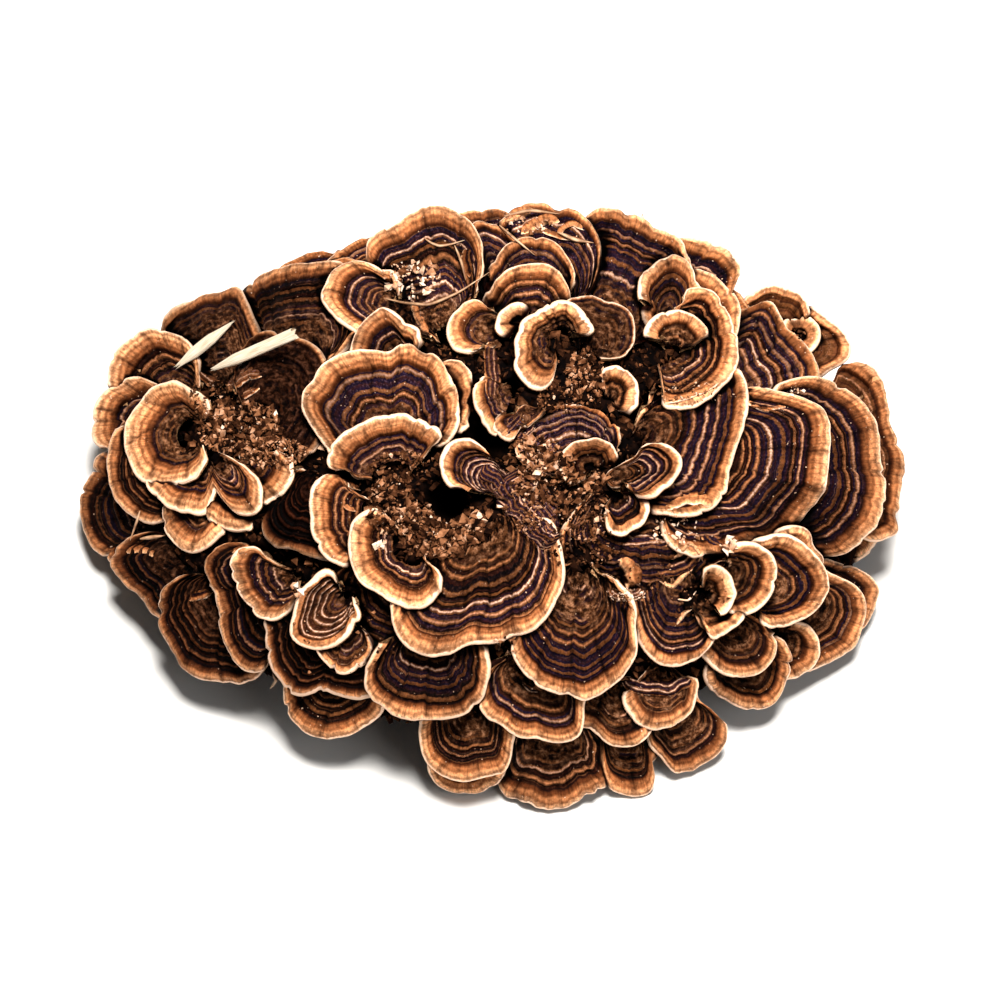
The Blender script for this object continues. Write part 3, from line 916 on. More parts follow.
def cast(tree, across, up):
    """Where the sight line through a point of the plane first meets the cluster, in millimetres."""
    way = unit(across * FRONT.right + up * FRONT.up - FRONT.eye)
    hit = tree.ray_cast(Vector(FRONT.eye * MM), Vector(way))[0]
    return None if hit is None else np.array(hit) / MM


def cast_depths(tree, across, up):
    """Depth where each point's sight line meets the cluster, filled in where it meets none."""
    hits = [cast(tree, a, b) for a, b in zip(across, up)]
    known = [k for k, hit in enumerate(hits) if hit is not None]
    return np.interp(range(len(hits)), known, [float(hits[k] @ FRONT.toward) for k in known])


def soften(row, times):
    """Evens out the inner values of an array along its first axis, in place."""
    for _ in range(times):
        row[1:-1] = (row[:-2] + 2.0 * row[1:-1] + row[2:]) / 4.0


def in_hollow(across, up):
    """Whether a point of the plane shows a hollow that stays clear of crumbs."""
    for x, y, radius, depth in HOLLOWS:
        middle = pixel(x, y)
        away = math.hypot(across - middle[0], up - middle[1])
        if depth > CLEAR_DEPTH and away < radius * PIXEL * CLEAR_SHARE:
            return True
    return False


def bare_spots(tree, count, bed_faces):
    """Points of the mound that lie bare, looked for from all round, in millimetres."""
    rng = np.random.default_rng(21)
    for _ in range(count):
        way = unit(rng.normal(size=3))
        way[2] = abs(way[2])
        target = Vector((*rng.uniform(-BARE_AIM, BARE_AIM, 2), rng.uniform(0.0, BARE_AIM)))
        found = tree.ray_cast(target + Vector(way * BARE_FROM), Vector(-way))
        if found[0] is not None and found[2] < bed_faces:
            yield np.array(found[0]) / MM, np.array(found[1])


def jittered(rng):
    """A crumb's corners, each moved a little."""
    return CRUMB_CORNERS + rng.uniform(-CRUMB_JITTER, CRUMB_JITTER, CRUMB_CORNERS.shape)


def turned(rng, shape):
    """The corners turned round a random axis."""
    angle = rng.uniform(0, 6.3)
    return shape @ np.array(Matrix.Rotation(angle, 3, Vector(unit(rng.normal(size=3)))))


def build_crumbs(tree, material, bed_faces):
    """Loose litter: over the bare mound first, then thickly in each of the photo's beds."""
    rng = np.random.default_rng(5)
    points, tones = [], []
    for spot, normal in bare_spots(tree, BARE_TRIES, bed_faces):
        if float(spot @ FRONT.toward) > 0.0 and in_hollow(*FRONT.spot(spot)):
            continue
        size = BARE_SIZE[0] + BARE_SIZE[1] * rng.uniform(0.0, 1.0) ** 2.0
        shape = jittered(rng) * rng.uniform(*CRUMB_STRETCH, 3) * size / 2.0
        points.append(np.maximum(spot + normal * size * BARE_SEAT + turned(rng, shape), CRUMB_GROUND))
        tones.append(np.clip(BARE_TONE[0] + rng.normal(0.0, BARE_TONE[1]), *BARE_LIMITS))
    for x, y, wide, high, count, least, most, pale in CRUMB_BEDS:
        for _ in range(count):
            turn, out = rng.uniform(0.0, 2.0 * math.pi), math.sqrt(rng.uniform(0.0, 1.0))
            spot = pixel(x + wide * out * math.cos(turn), y + high * out * math.sin(turn))
            hit = cast(tree, *spot)
            if hit is None or in_hollow(*spot):
                continue
            size = least + (most - least) * rng.uniform(0.0, 1.0) ** CRUMB_SMALLER
            stretch = rng.uniform(*CRUMB_STRETCH, 3) * size / 2.0
            crumb = turned(rng, jittered(rng) * stretch)
            points.append(hit + FRONT.toward * size * rng.uniform(0.0, CRUMB_SEAT) + crumb)
            tones.append(np.clip(pale + rng.normal(0.0, CRUMB_VARIES), *CRUMB_LIMITS))
    corners = len(CRUMB_CORNERS)
    faces = np.concatenate([CRUMB_FACES + corners * k for k in range(len(points))])
    centres = np.array([crumb.mean(axis=0) for crumb in points]) * MM
    shares = openness(tree, centres, np.broadcast_to(FRONT.toward, centres.shape))
    values = {
        "tone": np.repeat(tones, corners),
        "hollow": np.zeros(corners * len(points)),
        "open": np.clip(CRUMB_OPEN + np.repeat(shares, corners), 0.0, 1.0),
    }
    piece = add_mesh("litter_crumbs", np.concatenate(points), faces, values, material)
    piece.data.shade_flat()
    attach(piece, "root")
    return piece


# picture positions along a blade, width in millimetres
GRASS = (
    (((385, 298), (405, 303), (430, 305), (460, 292), (490, 272)), 1),
    (((425, 238), (432, 243), (440, 246), (452, 244), (465, 240)), 0.9),
    (((500, 225), (512, 236), (535, 255)), 0.9), (((558, 232), (575, 240), (594, 243)), 1.3),
    (((505, 216), (530, 210), (560, 214)), 1.2), (((455, 245), (462, 262), (466, 280)), 0.9),
    (((140, 510), (137, 520), (130, 540)), 0.8), (((140, 538), (165, 535)), 1.2),
    (((270, 688), (276, 680), (272, 672)), 0.9),
)
GRASS_STEPS = 8  # from one of a blade's positions to the next
GRASS_REACH = 4  # how many steps to each side a blade keeps clear of what lies under it
GRASS_LIFT = 0.4
GRASS_THICK = 0.25


def build_grass(tree, material):
    """Thin blades that lie on what the photo shows under them."""
    grids = []
    for row, width in GRASS:
        knots = np.array(row, dtype=float)
        last = len(knots) - 1
        steps = np.linspace(0.0, last, GRASS_STEPS * last + 1)
        x, y = (np.interp(steps, np.arange(last + 1), knots[:, k]) for k in (0, 1))
        soften(x, 3)
        soften(y, 3)
        across, up = pixel(x, y)
        depth = cast_depths(tree, across, up)
        lifted = [max(depth[max(0, k - GRASS_REACH):k + GRASS_REACH + 1]) for k in range(len(depth))]
        lifted = np.array(lifted)
        soften(lifted, 4)
        centre = FRONT.place(across, up, lifted + GRASS_LIFT)
        side = unit(np.cross(FRONT.toward, unit(np.gradient(centre, axis=0))))
        taper = np.sin(np.linspace(0.35, math.pi - 0.15, len(centre)))[:, None] * width / 2.0
        raised = FRONT.toward * GRASS_THICK
        ring = (centre + side * taper, centre + raised, centre - side * taper, centre - raised)
        grids.append((np.stack(ring, axis=1), {"tone": np.repeat(np.linspace(0.0, 1.0, len(centre)), 4)}))
    piece = add_grids("grass_blades", grids, material)
    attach(piece, "root")
    return piece


# small folds and lips that lie on the caps: picture positions with widths in pixels, rise in millimetres, how
# far the crest is shifted, then zone, period, dark, purple, pale and rim
SLIVERS = (
    (((489, 342, 9), (492, 360, 19), (494, 380, 20), (489, 398, 11)),
     2, 0.3, (0.9, 1.5, 0.3, 0.95, 0.8, 0.3)),
    (((466, 247, 8), (469, 260, 18), (470, 277, 9)), 2, 0, (1.6, 1.5, 0.4, 0.7, 0.6, 0.4)),
    (((558, 240, 6), (562, 228, 8), (573, 222, 9), (585, 230, 6)), 1.8, 0.4, (2.4, 2, 0.5, 0.3, 0.3, 0.8)),
    (((505, 224, 9), (517, 214, 15), (534, 209, 9)), 2.2, -0.3, (6, 2, 0.5, 0.3, 0.3, 0.9)),
    (((522, 234, 9), (532, 226, 14), (546, 219, 13), (560, 222, 8)), 2.2, -0.3, (5, 2, 0.5, 0.3, 0.3, 0.8)),
    (((543, 232, 5), (562, 237, 9), (584, 241, 5)), 1.8, 0.3, (3, 2, 0.5, 0.3, 0.3, 1.2)),
    (((343, 474, 5), (350, 484, 8), (361, 490, 5)), 1.4, 0.4, (2.4, 2, 0.5, 0.3, 0.3, 0.8)),
    (((341, 501, 4), (348, 508, 7), (358, 511, 4)), 1.2, 0.4, (2.4, 2, 0.5, 0.3, 0.3, 0.8)),
    (((189, 600, 6), (199, 594, 13), (213, 592, 7)), 1.8, 0.2, (2, 1.8, 0.6, 0.3, 0.3, 0.6)),
    (((232, 552, 8), (241, 549, 11), (250, 547, 8)), 1.8, 0, (3, 1.8, 0.6, 0.3, 0.3, 0.4)),
    (((622, 683, 10), (645, 688, 20), (670, 687, 21), (693, 679, 12)),
     2.2, 0.25, (0.7, 1.9, 0.5, 0.75, 0.5, 0.5)),
    (((522, 684, 6), (530, 688, 10), (538, 692, 5)), 1.4, 0.3, (0.3, 1.8, 0.8, 0.6, 0.3, 0.8)),
    (((506, 472, 34), (517, 492, 52), (538, 518, 46), (550, 549, 24)),
     2.6, -0.2, (0.6, 1.7, 0.45, 0.8, 1.2, 0.2)),
    (((478, 470, 18), (496, 476, 26), (512, 492, 18)), 2, 0, (0.5, 1.5, 0.4, 0.95, 0.8, 0.3)),
    (((606, 591, 8), (618, 596, 14), (634, 595, 14), (646, 589, 8)),
     1.2, 0.2, (0.5, 1.2, 0.1, 0.95, 1.2, 0.9)),
    (((671, 560, 4), (682, 553, 6), (688, 543, 6), (696, 547, 6), (703, 562, 4)),
     1.3, 0, (6, 2, 0.4, 0.3, 0.3, 0.3)),
    (((659, 581, 4), (672, 588, 6), (681, 578, 6), (693, 569, 4)), 1.3, 0, (6, 2, 0.4, 0.3, 0.3, 0.2)),
    (((708, 567, 4), (719, 560, 5), (731, 561, 6), (728, 571, 4)), 1.2, 0, (6, 2, 0.4, 0.3, 0.3, 0.2)),
    (((675, 599, 3), (688, 601, 4), (697, 590, 3)), 0.9, 0.2, (5, 2, 0.4, 0.3, 0.3, 1)),
    (((674, 627, 4), (683, 614, 7), (692, 609, 5)), 1.5, 0.2, (6, 2, 0.4, 0.3, 0.3, 0.4)),
    (((694, 612, 5), (703, 625, 9), (712, 637, 6)), 1.6, 0.2, (6, 2, 0.4, 0.3, 0.3, 0.5)),
    (((618, 560, 12), (628, 565, 22), (633, 576, 23), (628, 590, 12)), 2.6, 0.2, (8, 2, 0.4, 0.3, 0.3, 0.5)),
    (((655, 576, 8), (680, 568, 18), (700, 557, 10)), 1.2, 0.2, (0.6, 2, 0.5, 0.9, 0.5, 0.2)),
    (((700, 535, 8), (720, 545, 16), (738, 560, 10)), 1, 0, (0.8, 2, 0.6, 0.9, 0.5, 0.1)),
    (((620, 548, 8), (640, 541, 16), (668, 545, 10)), 1, -0.2, (0.8, 2, 0.6, 0.9, 0.5, 0.1)),
    (((412, 302, 8), (420, 318, 12), (428, 334, 8)), 1.4, 0, (3.4, 2, 0.6, 0.3, 0.3, 0)),
    (((662, 404, 5), (680, 398, 9), (700, 392, 9), (720, 383, 5)), 1.5, 0.3, (3, 2, 0.5, 0.3, 0.3, 1.2)),
    (((746, 402, 5), (765, 410, 8), (790, 405, 5)), 0.8, 0.3, (2, 2, 0.5, 0.5, 0.3, 1)),
    (((664, 510, 6), (684, 500, 13), (700, 498, 14), (714, 506, 8)), 1.6, 0.3, (5, 2, 0.5, 0.3, 0.3, 1.2)),
    (((122, 552, 6), (140, 546, 12), (158, 556, 6)), 0.8, 0, (3, 2, 0.6, 0.2, 0.2, 0.2)),
    (((226, 392, 7), (237, 380, 14), (250, 372, 15), (262, 376, 8)), 2.2, 0.3, (1.2, 1.5, 0.1, 0.3, 1, 1)),
    (((236, 402, 6), (248, 392, 11), (260, 388, 6)), 1.8, 0.3, (1.2, 1.5, 0.1, 0.3, 1, 1)),
    (((196, 372, 6), (208, 380, 12), (222, 386, 7)), 1.8, -0.2, (1.2, 1.8, 0.2, 0.1, 0.6, 0.6)),
    (((224, 415, 5), (230, 425, 11), (232, 438, 5)), 1.8, 0.2, (0.8, 1.6, 0.1, 0.2, 1, 1)),
    (((506, 436, 6), (513, 424, 12), (524, 415, 7)), 1.4, 0.3, (0.3, 1.5, 0.45, 0.9, 1.3, 0.6)),
    (((516, 446, 6), (524, 434, 12), (536, 426, 7)), 1.4, 0.3, (0.3, 1.5, 0.45, 0.9, 1.3, 0.6)),
)
SLIVER_STEP = 0.6
SLIVER_WAYS = 13
SLIVER_SEED = 200.0
SLIVER_SINK = 0.5
SLIVER_WAVE = (0.22, 1.5, 1.5)  # height of its unevenness, its size along, and how many waves to a half width
SLIVER_RIDGE = 0.15
SLIVER_THICK = 0.6
SLIVER_END = (1.6, 2.5)  # over how much of its ends it narrows, and sinks
SLIVER_OPEN = 1.0 * MM


def path_knots(knots):
    """A smooth row of picture positions and widths through the knots, and how far along each is."""
    knots = np.array(knots, dtype=float)
    lengths = np.hypot(*np.diff(knots[:, :2], axis=0).T) * PIXEL
    place = np.concatenate(((0.0,), np.cumsum(lengths)))
    steps = np.linspace(0.0, place[-1], max(8, round(lengths.sum() / SLIVER_STEP)))
    rows = [np.interp(steps, place, column) for column in knots.T]
    for row in rows:
        soften(row, 4)
    return (*rows, steps)


def sliver(tree, number, knots, rise, crest, look):
    """Points and attributes of one fold that lies on what the photo shows under it."""
    look = dict(zip(("zone", "period", "dark", "purple", "pale", "rim"), look))
    x, y, wide, steps = path_knots(knots)
    end = np.minimum(steps, steps[-1] - steps)
    wide = wide * PIXEL * np.sqrt(np.clip(end / SLIVER_END[0], 0.02, 1.0))
    across, up = pixel(x, y)
    tangent = unit(np.stack((np.gradient(across), np.gradient(up)), axis=1))
    s = np.linspace(-1.0, 1.0, SLIVER_WAYS)[None, :]
    seed = SLIVER_SEED + number
    steps, end = steps[:, None], end[:, None]
    half = wide[:, None] / 2.0 * (1.0 + 0.18 * ripple(steps / 2.2, s * 0.4, seed))
    a = across[:, None] + tangent[:, 1:] * half * s
    b = up[:, None] - tangent[:, :1] * half * s
    depth = cast_depths(tree, a.ravel(), b.ravel()).reshape(a.shape)
    for _ in range(3):
        soften(depth.T, 1)
        soften(depth, 1)
    bow = 1.0 - (np.abs(s - crest) / (1.0 + abs(crest))) ** 1.7
    bow = np.where(s > crest, 1.0 - (np.abs(s - crest) / (1.0 - crest)) ** 2.4, bow)
    height = rise * np.clip(end / SLIVER_END[1], 0.15, 1.0) ** 0.7 * bow - SLIVER_SINK
    height = height + SLIVER_WAVE[0] * ripple(steps / SLIVER_WAVE[1], s * SLIVER_WAVE[2], seed + 1.0)
    height = height + SLIVER_RIDGE * np.cos(half * (1.0 - s) / look["period"] * 6.28)
    top = FRONT.place(a, b, depth + height)
    back = (slice(None), slice(-2, 0, -1))
    low = FRONT.place(a[back], b[back], (depth + np.minimum(height, 0.0) - SLIVER_THICK)[back])
    edge = np.minimum(half * (1.0 - s) + 0.0 * a, 2.0 * end + 0.3)
    waved = np.maximum(edge + 0.35 * ripple(steps / 3.0, s, seed + 2.0), 0.0)
    band = (waved - look["zone"]) / look["period"]
    upper = {"edge": edge, "waved": waved, "band": band, "along": steps + 0.0 * a, "crack": 0.0 * a}
    values = {key: np.concatenate((value, value[back]), axis=1) for key, value in upper.items()}
    values["under"] = np.concatenate((0.0 * a, np.ones(low.shape[:2])), axis=1)
    fill(values, values["under"].shape, look, seed=seed, root=1.0, dim=0.0, dust=0.0)
    return np.concatenate((top, low), axis=1), values


def build_slivers(tree, material):
    piece = add_grids("cap_folds", [sliver(tree, k, *row) for k, row in enumerate(SLIVERS)], material)
    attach(piece, "root")
    spots, normals = read_points(piece.data)
    set_values(piece.data, "open", openness(tree, spots + FRONT.toward * SLIVER_OPEN, normals))
    return piece


SPLINTER_GRID = (60, 20)  # rings along it, points round it
SPLINTER_FIT = (0.95, 0.8)  # of the solid's own half width and height
SPLINTER_RAGGED = 1.4
SPLINTERS = (("splinter_left", 2.0, 1.0), ("splinter_right", 8.0, 4.0))  # name, bluntness, seed


def build_splinter(name, material, blunt, seed):
    """A split piece of wood with ragged ends, over the plain solid's own length and width."""
    co = np.array([vert.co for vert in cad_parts[name].data.vertices]) / MM
    centre = co.mean(axis=0)
    axis = np.linalg.svd(co - centre)[2][0]
    axis = axis * np.sign(axis[0])
    reach = (co - centre) @ axis
    side = unit(np.cross(FRONT.toward, axis))
    up = unit(np.cross(axis, side))
    half_width, half_height = (float(np.abs((co - centre) @ way).max()) for way in (side, up))
    stations, corners = SPLINTER_GRID
    t = np.linspace(0.0, 1.0, stations)[:, None]
    turn = np.linspace(0.0, 2.0 * math.pi, corners, endpoint=False)[None, :]
    outline = np.minimum(1.0, 2.5 * t + 0.3) * np.minimum(1.0, blunt * (1.0 - t) + 0.12 * blunt)
    grain = 1.0 + 0.16 * ripple(turn * 2.2, t * 1.5, seed) + 0.08 * ripple(turn * 6.0, t * 3.0, seed + 1.0)
    square = 1.0 / np.maximum(np.abs(np.cos(turn)), np.abs(np.sin(turn))) ** 0.5
    wide = half_width * outline * grain * square * np.cos(turn) * SPLINTER_FIT[0]
    high = half_height * outline * grain * square * np.sin(turn) * SPLINTER_FIT[1]
    ragged = SPLINTER_RAGGED * ripple(turn * 3.0, 0.0, seed + 2.0)
    along = reach.min() + (reach.max() - reach.min()) * t + ragged * (np.abs(t - 0.5) * 2.0) ** 6
    grid = centre + along[..., None] * axis + wide[..., None] * side + high[..., None] * up
    values = {"tone": t + 0.0 * turn, "grain": turn * 3.0 + 0.0 * t}
    piece = add_grids(f"{name}_wood", [(grid, values)], material)
    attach(piece, "root")
    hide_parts(name)
    return piece


# ---------------------------------------------------------------- materials


class Number:
    """A number that varies over the surface: a socket, with sums that add Math nodes."""

    def __init__(self, nodes, socket):
        self.nodes = nodes
        self.socket = socket

    def __add__(self, other):
        return self.nodes.math("ADD", self, other)

    def __sub__(self, other):
        return self.nodes.math("SUBTRACT", self, other)

    def __mul__(self, other):
        return self.nodes.math("MULTIPLY", self, other)

    def __truediv__(self, other):
        return self.nodes.math("DIVIDE", self, other)

    def __abs__(self):
        return self.nodes.math("ABSOLUTE", self)


class Nodes:
    """Short calls to build one material's nodes."""

    def __init__(self, name, roughness, specular=0.5):
        self.material = bpy.data.materials.new(name)
        self.material.use_nodes = True
        self.tree = self.material.node_tree
        self.shader = self.tree.nodes["Principled BSDF"]
        self.shader.inputs["Roughness"].default_value = roughness
        self.shader.inputs["Specular IOR Level"].default_value = specular

    def add(self, kind, inputs=(), output=0, **settings):
        """One node with its settings, and its inputs by name or place."""
        node = self.tree.nodes.new(f"ShaderNode{kind}")
        for key, value in settings.items():
            setattr(node, key, value)
        for key, value in dict(inputs).items():
            self.set(node.inputs[key], value)
        return Number(self, node.outputs[output])

    def set(self, socket, value):
        if isinstance(value, Number):
            self.tree.links.new(value.socket, socket)
        else:
            socket.default_value = value

    def math(self, operation, a, b=0.0, clamp=False):
        return self.add("Math", ((0, a), (1, b)), operation=operation, use_clamp=clamp)

    def attribute(self, name):
        return self.add("Attribute", output="Fac", attribute_type="GEOMETRY", attribute_name=name)

    def vector(self, x, y, z=0.0):
        return self.add("CombineXYZ", enumerate((x, y, z)))

    def place(self):
        return self.add("TexCoord", output="Object")

    def noise(self, vector, scale, detail=2.0, roughness=0.5):
        inputs = (("Vector", vector), ("Scale", scale), ("Detail", detail), ("Roughness", roughness))
        return self.add("TexNoise", inputs, "Fac")

    def random(self, value):
        """A number from 0 to 1 that is the same wherever the value is."""
        return self.add("TexWhiteNoise", (("W", value),), "Value", noise_dimensions="1D")

    def ramp(self, value, *stops):
        node = self.tree.nodes.new("ShaderNodeValToRGB")
        elements = node.color_ramp.elements
        elements[0].position, elements[0].color = stops[0][0], (*stops[0][1], 1.0)
        elements[1].position, elements[1].color = stops[-1][0], (*stops[-1][1], 1.0)
        for position, color in stops[1:-1]:
            elements.new(position).color = (*color, 1.0)
        self.set(node.inputs[0], value)
        return Number(self, node.outputs[0])

    def step(self, value, low, high):
        """From 0 at low to 1 at high, smoothly; low may be the greater one."""
        inputs = (("Value", value), ("From Min", low), ("From Max", high))
        return self.add("MapRange", inputs, interpolation_type="SMOOTHSTEP")

    def mix(self, share, a, b, kind="MIX"):
        """Colour a where the share is 0, b where it is 1."""
        a, b = ((*color, 1.0) if isinstance(color, tuple) else color for color in (a, b))
        return self.add("Mix", ((0, share), (6, a), (7, b)), 2, data_type="RGBA", blend_type=kind)

    def tint(self, share, color, other):
        """The colour, multiplied by another as far as the share says."""
        return self.mix(share, color, other, "MULTIPLY")

    def darken(self, share, color, least):
        return self.mix(share, color, self.tint(1.0, color, least))

    def gamma(self, color, power):
        return self.add("Gamma", (("Color", color), ("Gamma", power)))

    def finish(self, color, height=None, distance=0.0002, strength=0.6):
        self.set(self.shader.inputs["Base Color"], color)
        if height is not None:
            inputs = (("Distance", distance), ("Strength", strength), ("Height", height))
            self.set(self.shader.inputs["Normal"], self.add("Bump", inputs))
        return self.material


CREAM = (0.92, 0.73, 0.53)
BLACK = (0.0025, 0.0015, 0.002)
VIOLET = (0.012, 0.0070, 0.020)
BARK = (0.018, 0.006, 0.003)
TAN = (0.38, 0.185, 0.085)
PALE = (0.64, 0.46, 0.34)
BROWN_LINE = (0.13, 0.054, 0.018)
LINE_EDGE = (0.16, 0.075, 0.03)
BROWN_BAND = (0.17, 0.075, 0.032)
BAND_EDGE = (0.038, 0.011, 0.006)
BAND_THREAD = (0.26, 0.14, 0.065)
BROWN_FROST = (0.17, 0.095, 0.06)
VIOLET_FROST = (0.17, 0.115, 0.15)
SPECK = (0.60, 0.46, 0.32)
OUTER_ZONE = (
    (0.0, (0.88, 0.63, 0.40)), (0.18, (0.76, 0.47, 0.25)), (0.45, (0.57, 0.295, 0.135)),
    (0.70, (0.38, 0.175, 0.072)), (0.88, (0.13, 0.049, 0.018)), (1.0, (0.012, 0.004, 0.003)),
)
STREAKS = ((0.28, (0.35, 0.32, 0.30)), (0.48, (0.95, 0.95, 0.95)), (0.75, (1.45, 1.42, 1.35)))
MOTTLES = ((0.36, (0.45, 0.42, 0.40)), (0.5, (1.0, 1.0, 1.0)), (0.66, (1.5, 1.45, 1.4)))
PATCHES = ((0.35, (0.55, 0.52, 0.50)), (0.6, (1.2, 1.2, 1.2)))
ROOT_LITTER = ((0.36, (0.010, 0.005, 0.003)), (0.50, (0.10, 0.044, 0.018)), (0.66, (0.40, 0.23, 0.125)))
PORES = ((0.4, (0.20, 0.11, 0.05)), (0.6, (0.44, 0.30, 0.16)))
LITTER = (
    (0.0, (0.004, 0.003, 0.003)), (0.25, (0.022, 0.009, 0.005)), (0.45, (0.115, 0.046, 0.021)),
    (0.65, (0.37, 0.17, 0.083)), (0.85, (0.72, 0.45, 0.30)), (1.0, (0.90, 0.72, 0.58)),
)
GRASS_TONES = ((0.3, (0.20, 0.09, 0.04)), (0.5, (0.42, 0.23, 0.12)), (0.7, (0.62, 0.42, 0.26)))
WOOD_TONES = ((0.22, (0.44, 0.27, 0.14)), (0.42, (0.74, 0.60, 0.42)), (0.7, (0.90, 0.80, 0.66)))


def cap_material():
    """Bands that run along the rim: cream edge, orange-tan zone, then dark bands parted by pale lines."""
    n = Nodes("cap_bands", 0.5, 0.02)
    edge, along, waved = (n.attribute(key) for key in ("edge", "along", "waved"))
    dark, purple, pale = (n.attribute(key) for key in ("dark", "purple", "pale"))
    place = n.place()
    shift = n.attribute("seed") * 7.31
    small = n.noise(n.vector(along * 0.9, edge * 0.5, shift), 1.0, 3.0) - 0.5

    # one band's deep colour and the pale line in it, with numbers of its own
    band = small * 0.35 + n.attribute("band")
    part = n.math("FRACT", band)
    number = n.math("FLOOR", band) + shift * 3.0
    first, second = n.random(number), n.random(number + 0.5)
    crest = abs(part - CREST)
    away = crest - (first * 0.12 + (dark * -0.10 + 0.20))
    line = n.step(away, 0.05, -0.03)
    tan = n.mix(n.step(second + (pale - 0.5), 0.35, 0.8), TAN, PALE)
    tan = n.mix(n.step(first, 0.65, 0.35), tan, BROWN_LINE)
    tan = n.mix(n.step(crest, 0.02, 0.16), tan, LINE_EDGE)
    violet = n.step(purple - 0.5 + second, 0.45, 0.6)
    deep = n.mix(violet, n.mix(first, BLACK, BARK), VIOLET)
    deep = n.mix(n.step(dark, 0.4, 0.1), deep, BROWN_BAND)
    deep = n.mix(n.step(part, 0.30, 0.0) * 0.7, deep, BAND_EDGE)
    bands = n.mix(line, deep, tan)
    fine = n.noise(n.vector(waved * 2.4, along * 0.05, shift), 1.0, 2.0, 0.6)
    bands = n.mix(n.step(fine, 0.60, 0.72) * 0.35, bands, BAND_THREAD)
    frost = n.noise(n.vector(along * 1.5, edge * 1.5, shift + 9.0), 1.0, 3.0, 0.75)
    frosted = n.step(frost, 0.52, 0.70) * (pale * 0.55 + 0.15)
    bands = n.mix(frosted, bands, n.mix(violet, BROWN_FROST, VIOLET_FROST))

    # the outer zone
    share = (small * 0.6 + waved) / n.attribute("zone")
    outer = n.ramp(share, *OUTER_ZONE)
    swell = n.math("SINE", waved * 2.9 + (small * 3.0 + shift))
    outer = n.darken(n.math("ADD", swell * 0.40, 0.28, clamp=True), outer, (0.36, 0.27, 0.22))
    color = n.mix(n.step(share, 0.94, 1.04), outer, bands)

    # streaks, cracks, mottles and patches
    streak = n.noise(n.vector(along * 2.0, edge * 0.14, shift), 1.0, 3.0)
    color = n.tint(0.65, color, n.ramp(streak, *STREAKS))
    color = n.darken(n.attribute("crack") * 0.9, color, (0.16, 0.12, 0.11))
    color = n.tint(0.7, color, n.ramp(n.noise(place, 620.0, 3.0, 0.7), *MOTTLES))
    color = n.tint(0.6, color, n.ramp(n.noise(place, 55.0), *PATCHES))

    # the cream rim, specks, littered root and underside
    reach = n.noise(n.vector(along * 0.16, shift + 20.0), 1.0) * 1.5 + -0.93
    shown = small * 1.2 + (edge - (n.attribute("rim") * 0.55 + reach))
    color = n.mix(n.step(shown, 0.35, -0.15), color, CREAM)
    color = n.mix(n.step(n.noise(place, 1100.0, 1.0), 0.73, 0.80), color, SPECK)
    inward = n.attribute("root") - n.attribute("dust")
    rooted = n.step(inward, 0.12, -0.10) * n.step(n.noise(place, 230.0, 3.0), 0.36, 0.54)
    color = n.mix(rooted, color, n.ramp(n.noise(place, 520.0, 4.0, 0.7), *ROOT_LITTER))
    below = n.ramp(n.noise(place, 1500.0, 1.0), *PORES)
    color = n.mix(n.step(n.attribute("under"), 0.15, 0.6), color, below)

    # dull caps and dark gaps
    dim = n.attribute("dim") * (n.step(share, 0.3, 1.0) * 0.6 + 0.4)
    color = n.darken(dim, color, (0.14, 0.10, 0.10))
    color = n.darken(n.step(n.attribute("open"), 0.86, 0.44), color, (0.025, 0.012, 0.012))
    color = n.tint(1.0, n.gamma(color, 1.20), (1.22, 1.10, 1.15))
    fibre = n.noise(n.vector(along * 5.0, edge * 0.9, shift), 1.0, 3.0, 0.7)
    return n.finish(color, line * 0.5 + fibre, 0.00035, 0.8)


def litter_material():
    """Crumbly browns by each point's tone, nearly black in the hollows and gaps."""
    n = Nodes("litter", 0.95, 0.0)
    place = n.place()
    tone = (n.noise(place, 420.0, 3.0) - 0.5) * 0.7 + n.attribute("tone")
    color = n.mix(n.attribute("hollow") * 0.9, n.ramp(tone, *LITTER), (0.006, 0.004, 0.003))
    color = n.darken(n.step(n.attribute("open"), 0.84, 0.42), color, (0.03, 0.015, 0.014))
    return n.finish(n.gamma(color, 1.12), n.noise(place, 700.0, 4.0), 0.0005, 0.8)


def grass_material():
    n = Nodes("dry_grass", 0.6)
    tone = n.noise(n.place(), 300.0)
    return n.finish(n.ramp(tone, *GRASS_TONES), tone, 0.0002, 0.5)


def wood_material():
    n = Nodes("raw_wood", 0.75)
    grain = n.noise(n.vector(n.attribute("grain"), n.attribute("tone") * 2.0), 2.4, 4.0)
    return n.finish(n.ramp(grain, *WOOD_TONES), grain, 0.0003, 0.8)


# ---------------------------------------------------------------- stage

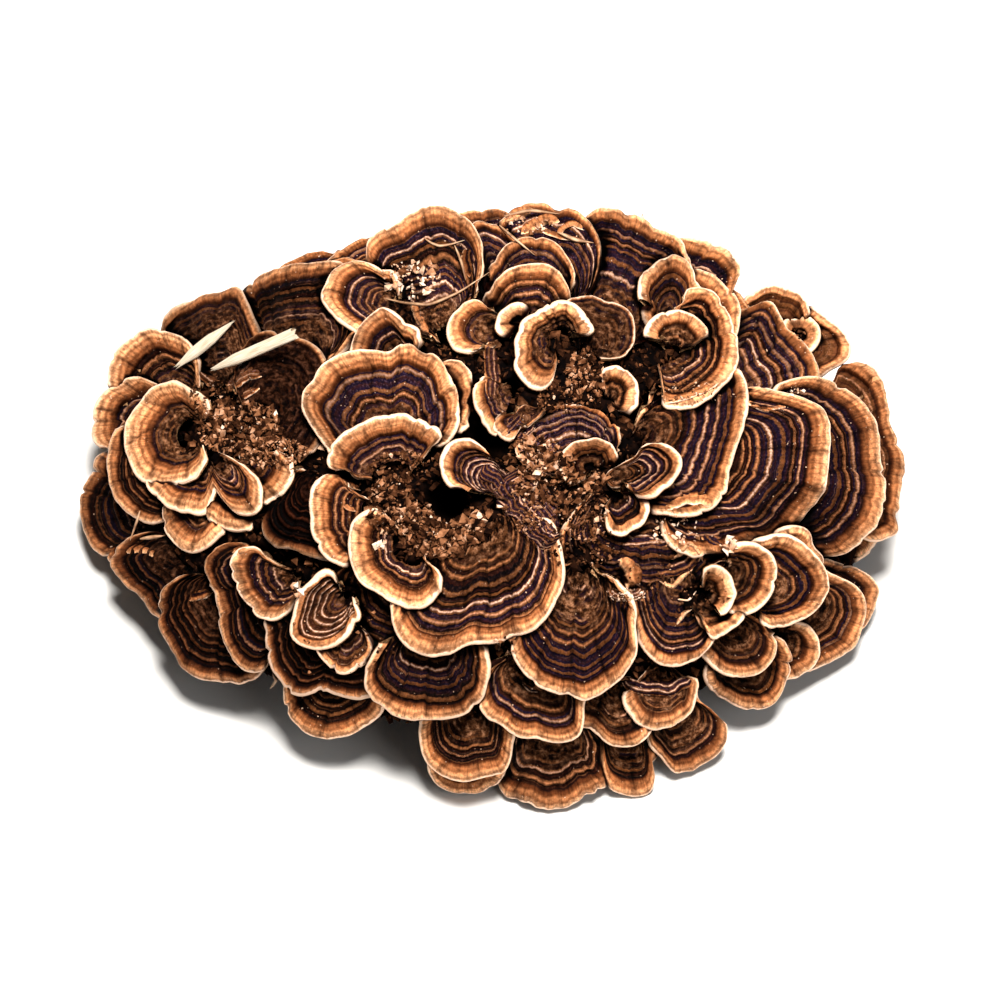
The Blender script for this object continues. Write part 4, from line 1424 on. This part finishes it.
FLOOR_HALF = 3000.0
FLOOR_COLOR = (0.88, 0.88, 0.87, 1.0)
LIGHT_TARGET = Vector((0.0, 0.0, 0.03))
LIGHTS = (
    # name, place and size in metres, power, colour
    ("key", (0.08, -0.1, 1.25), 0.35, 36.0, (1.0, 0.96, 0.91)),
    ("fill", (0.9, -0.8, 0.8), 0.9, 4.0, (1.0, 1.0, 1.0)),
)
SKY = ((1.0, 0.99, 0.97, 1.0), 0.07)
VIEW_END = 20.0


def add_floor():
    corners = ((-1, -1, 0), (1, -1, 0), (1, 1, 0), (-1, 1, 0))
    material = Nodes("studio_floor", 0.9).finish(FLOOR_COLOR)
    add_mesh("floor", np.array(corners) * FLOOR_HALF, np.array(((0, 1, 2, 3),)), {}, material)


def aim(item, place, target):
    item.location = place
    item.rotation_euler = (target - place).to_track_quat("-Z", "Y").to_euler()
    bpy.context.scene.collection.objects.link(item)


def add_light(name, place, size, power, color):
    data = bpy.data.lights.new(name, "AREA")
    data.size = size
    data.energy = power
    data.color = color
    aim(bpy.data.objects.new(name, data), Vector(place), LIGHT_TARGET)


def light_stage():
    world = bpy.data.worlds.new("studio")
    world.use_nodes = True
    background = world.node_tree.nodes["Background"]
    background.inputs["Color"].default_value, background.inputs["Strength"].default_value = SKY
    bpy.context.scene.world = world
    bpy.context.scene.view_settings.view_transform = "Standard"
    for row in LIGHTS:
        add_light(*row)


def add_camera():
    data = bpy.data.cameras.new("camera")
    data.sensor_width = SENSOR
    data.lens = SENSOR * SIGHT_DISTANCE / (PICTURE_SIZE * PIXEL)
    data.clip_end = VIEW_END
    item = bpy.data.objects.new("camera", data)
    across, up = pixel(PICTURE_SIZE / 2.0, PICTURE_SIZE / 2.0)
    aim(item, Vector(FRONT.eye * MM), Vector((across * FRONT.right + up * FRONT.up) * MM))
    bpy.context.scene.camera = item


all_lobes = [Lobe(*row) for row in LOBES] + tier_lobes()
count_stacks(all_lobes)
cap_look = cap_material()
caps = build_caps(all_lobes, cap_look)
litter = litter_material()
bed = build_mound(litter)
seen = sight_tree([bed, *caps])
mark_open_caps(seen, caps)
set_values(bed.data, "open", openness(seen, *read_points(bed.data)))
folds = build_slivers(seen, cap_look)
seen = sight_tree([bed, *caps, folds])
build_crumbs(seen, litter, len(bed.data.polygons))
build_grass(seen, grass_material())
wood = wood_material()
for splinter, bluntness, own_seed in SPLINTERS:
    build_splinter(splinter, wood, bluntness, own_seed)

add_floor()
light_stage()
add_camera()
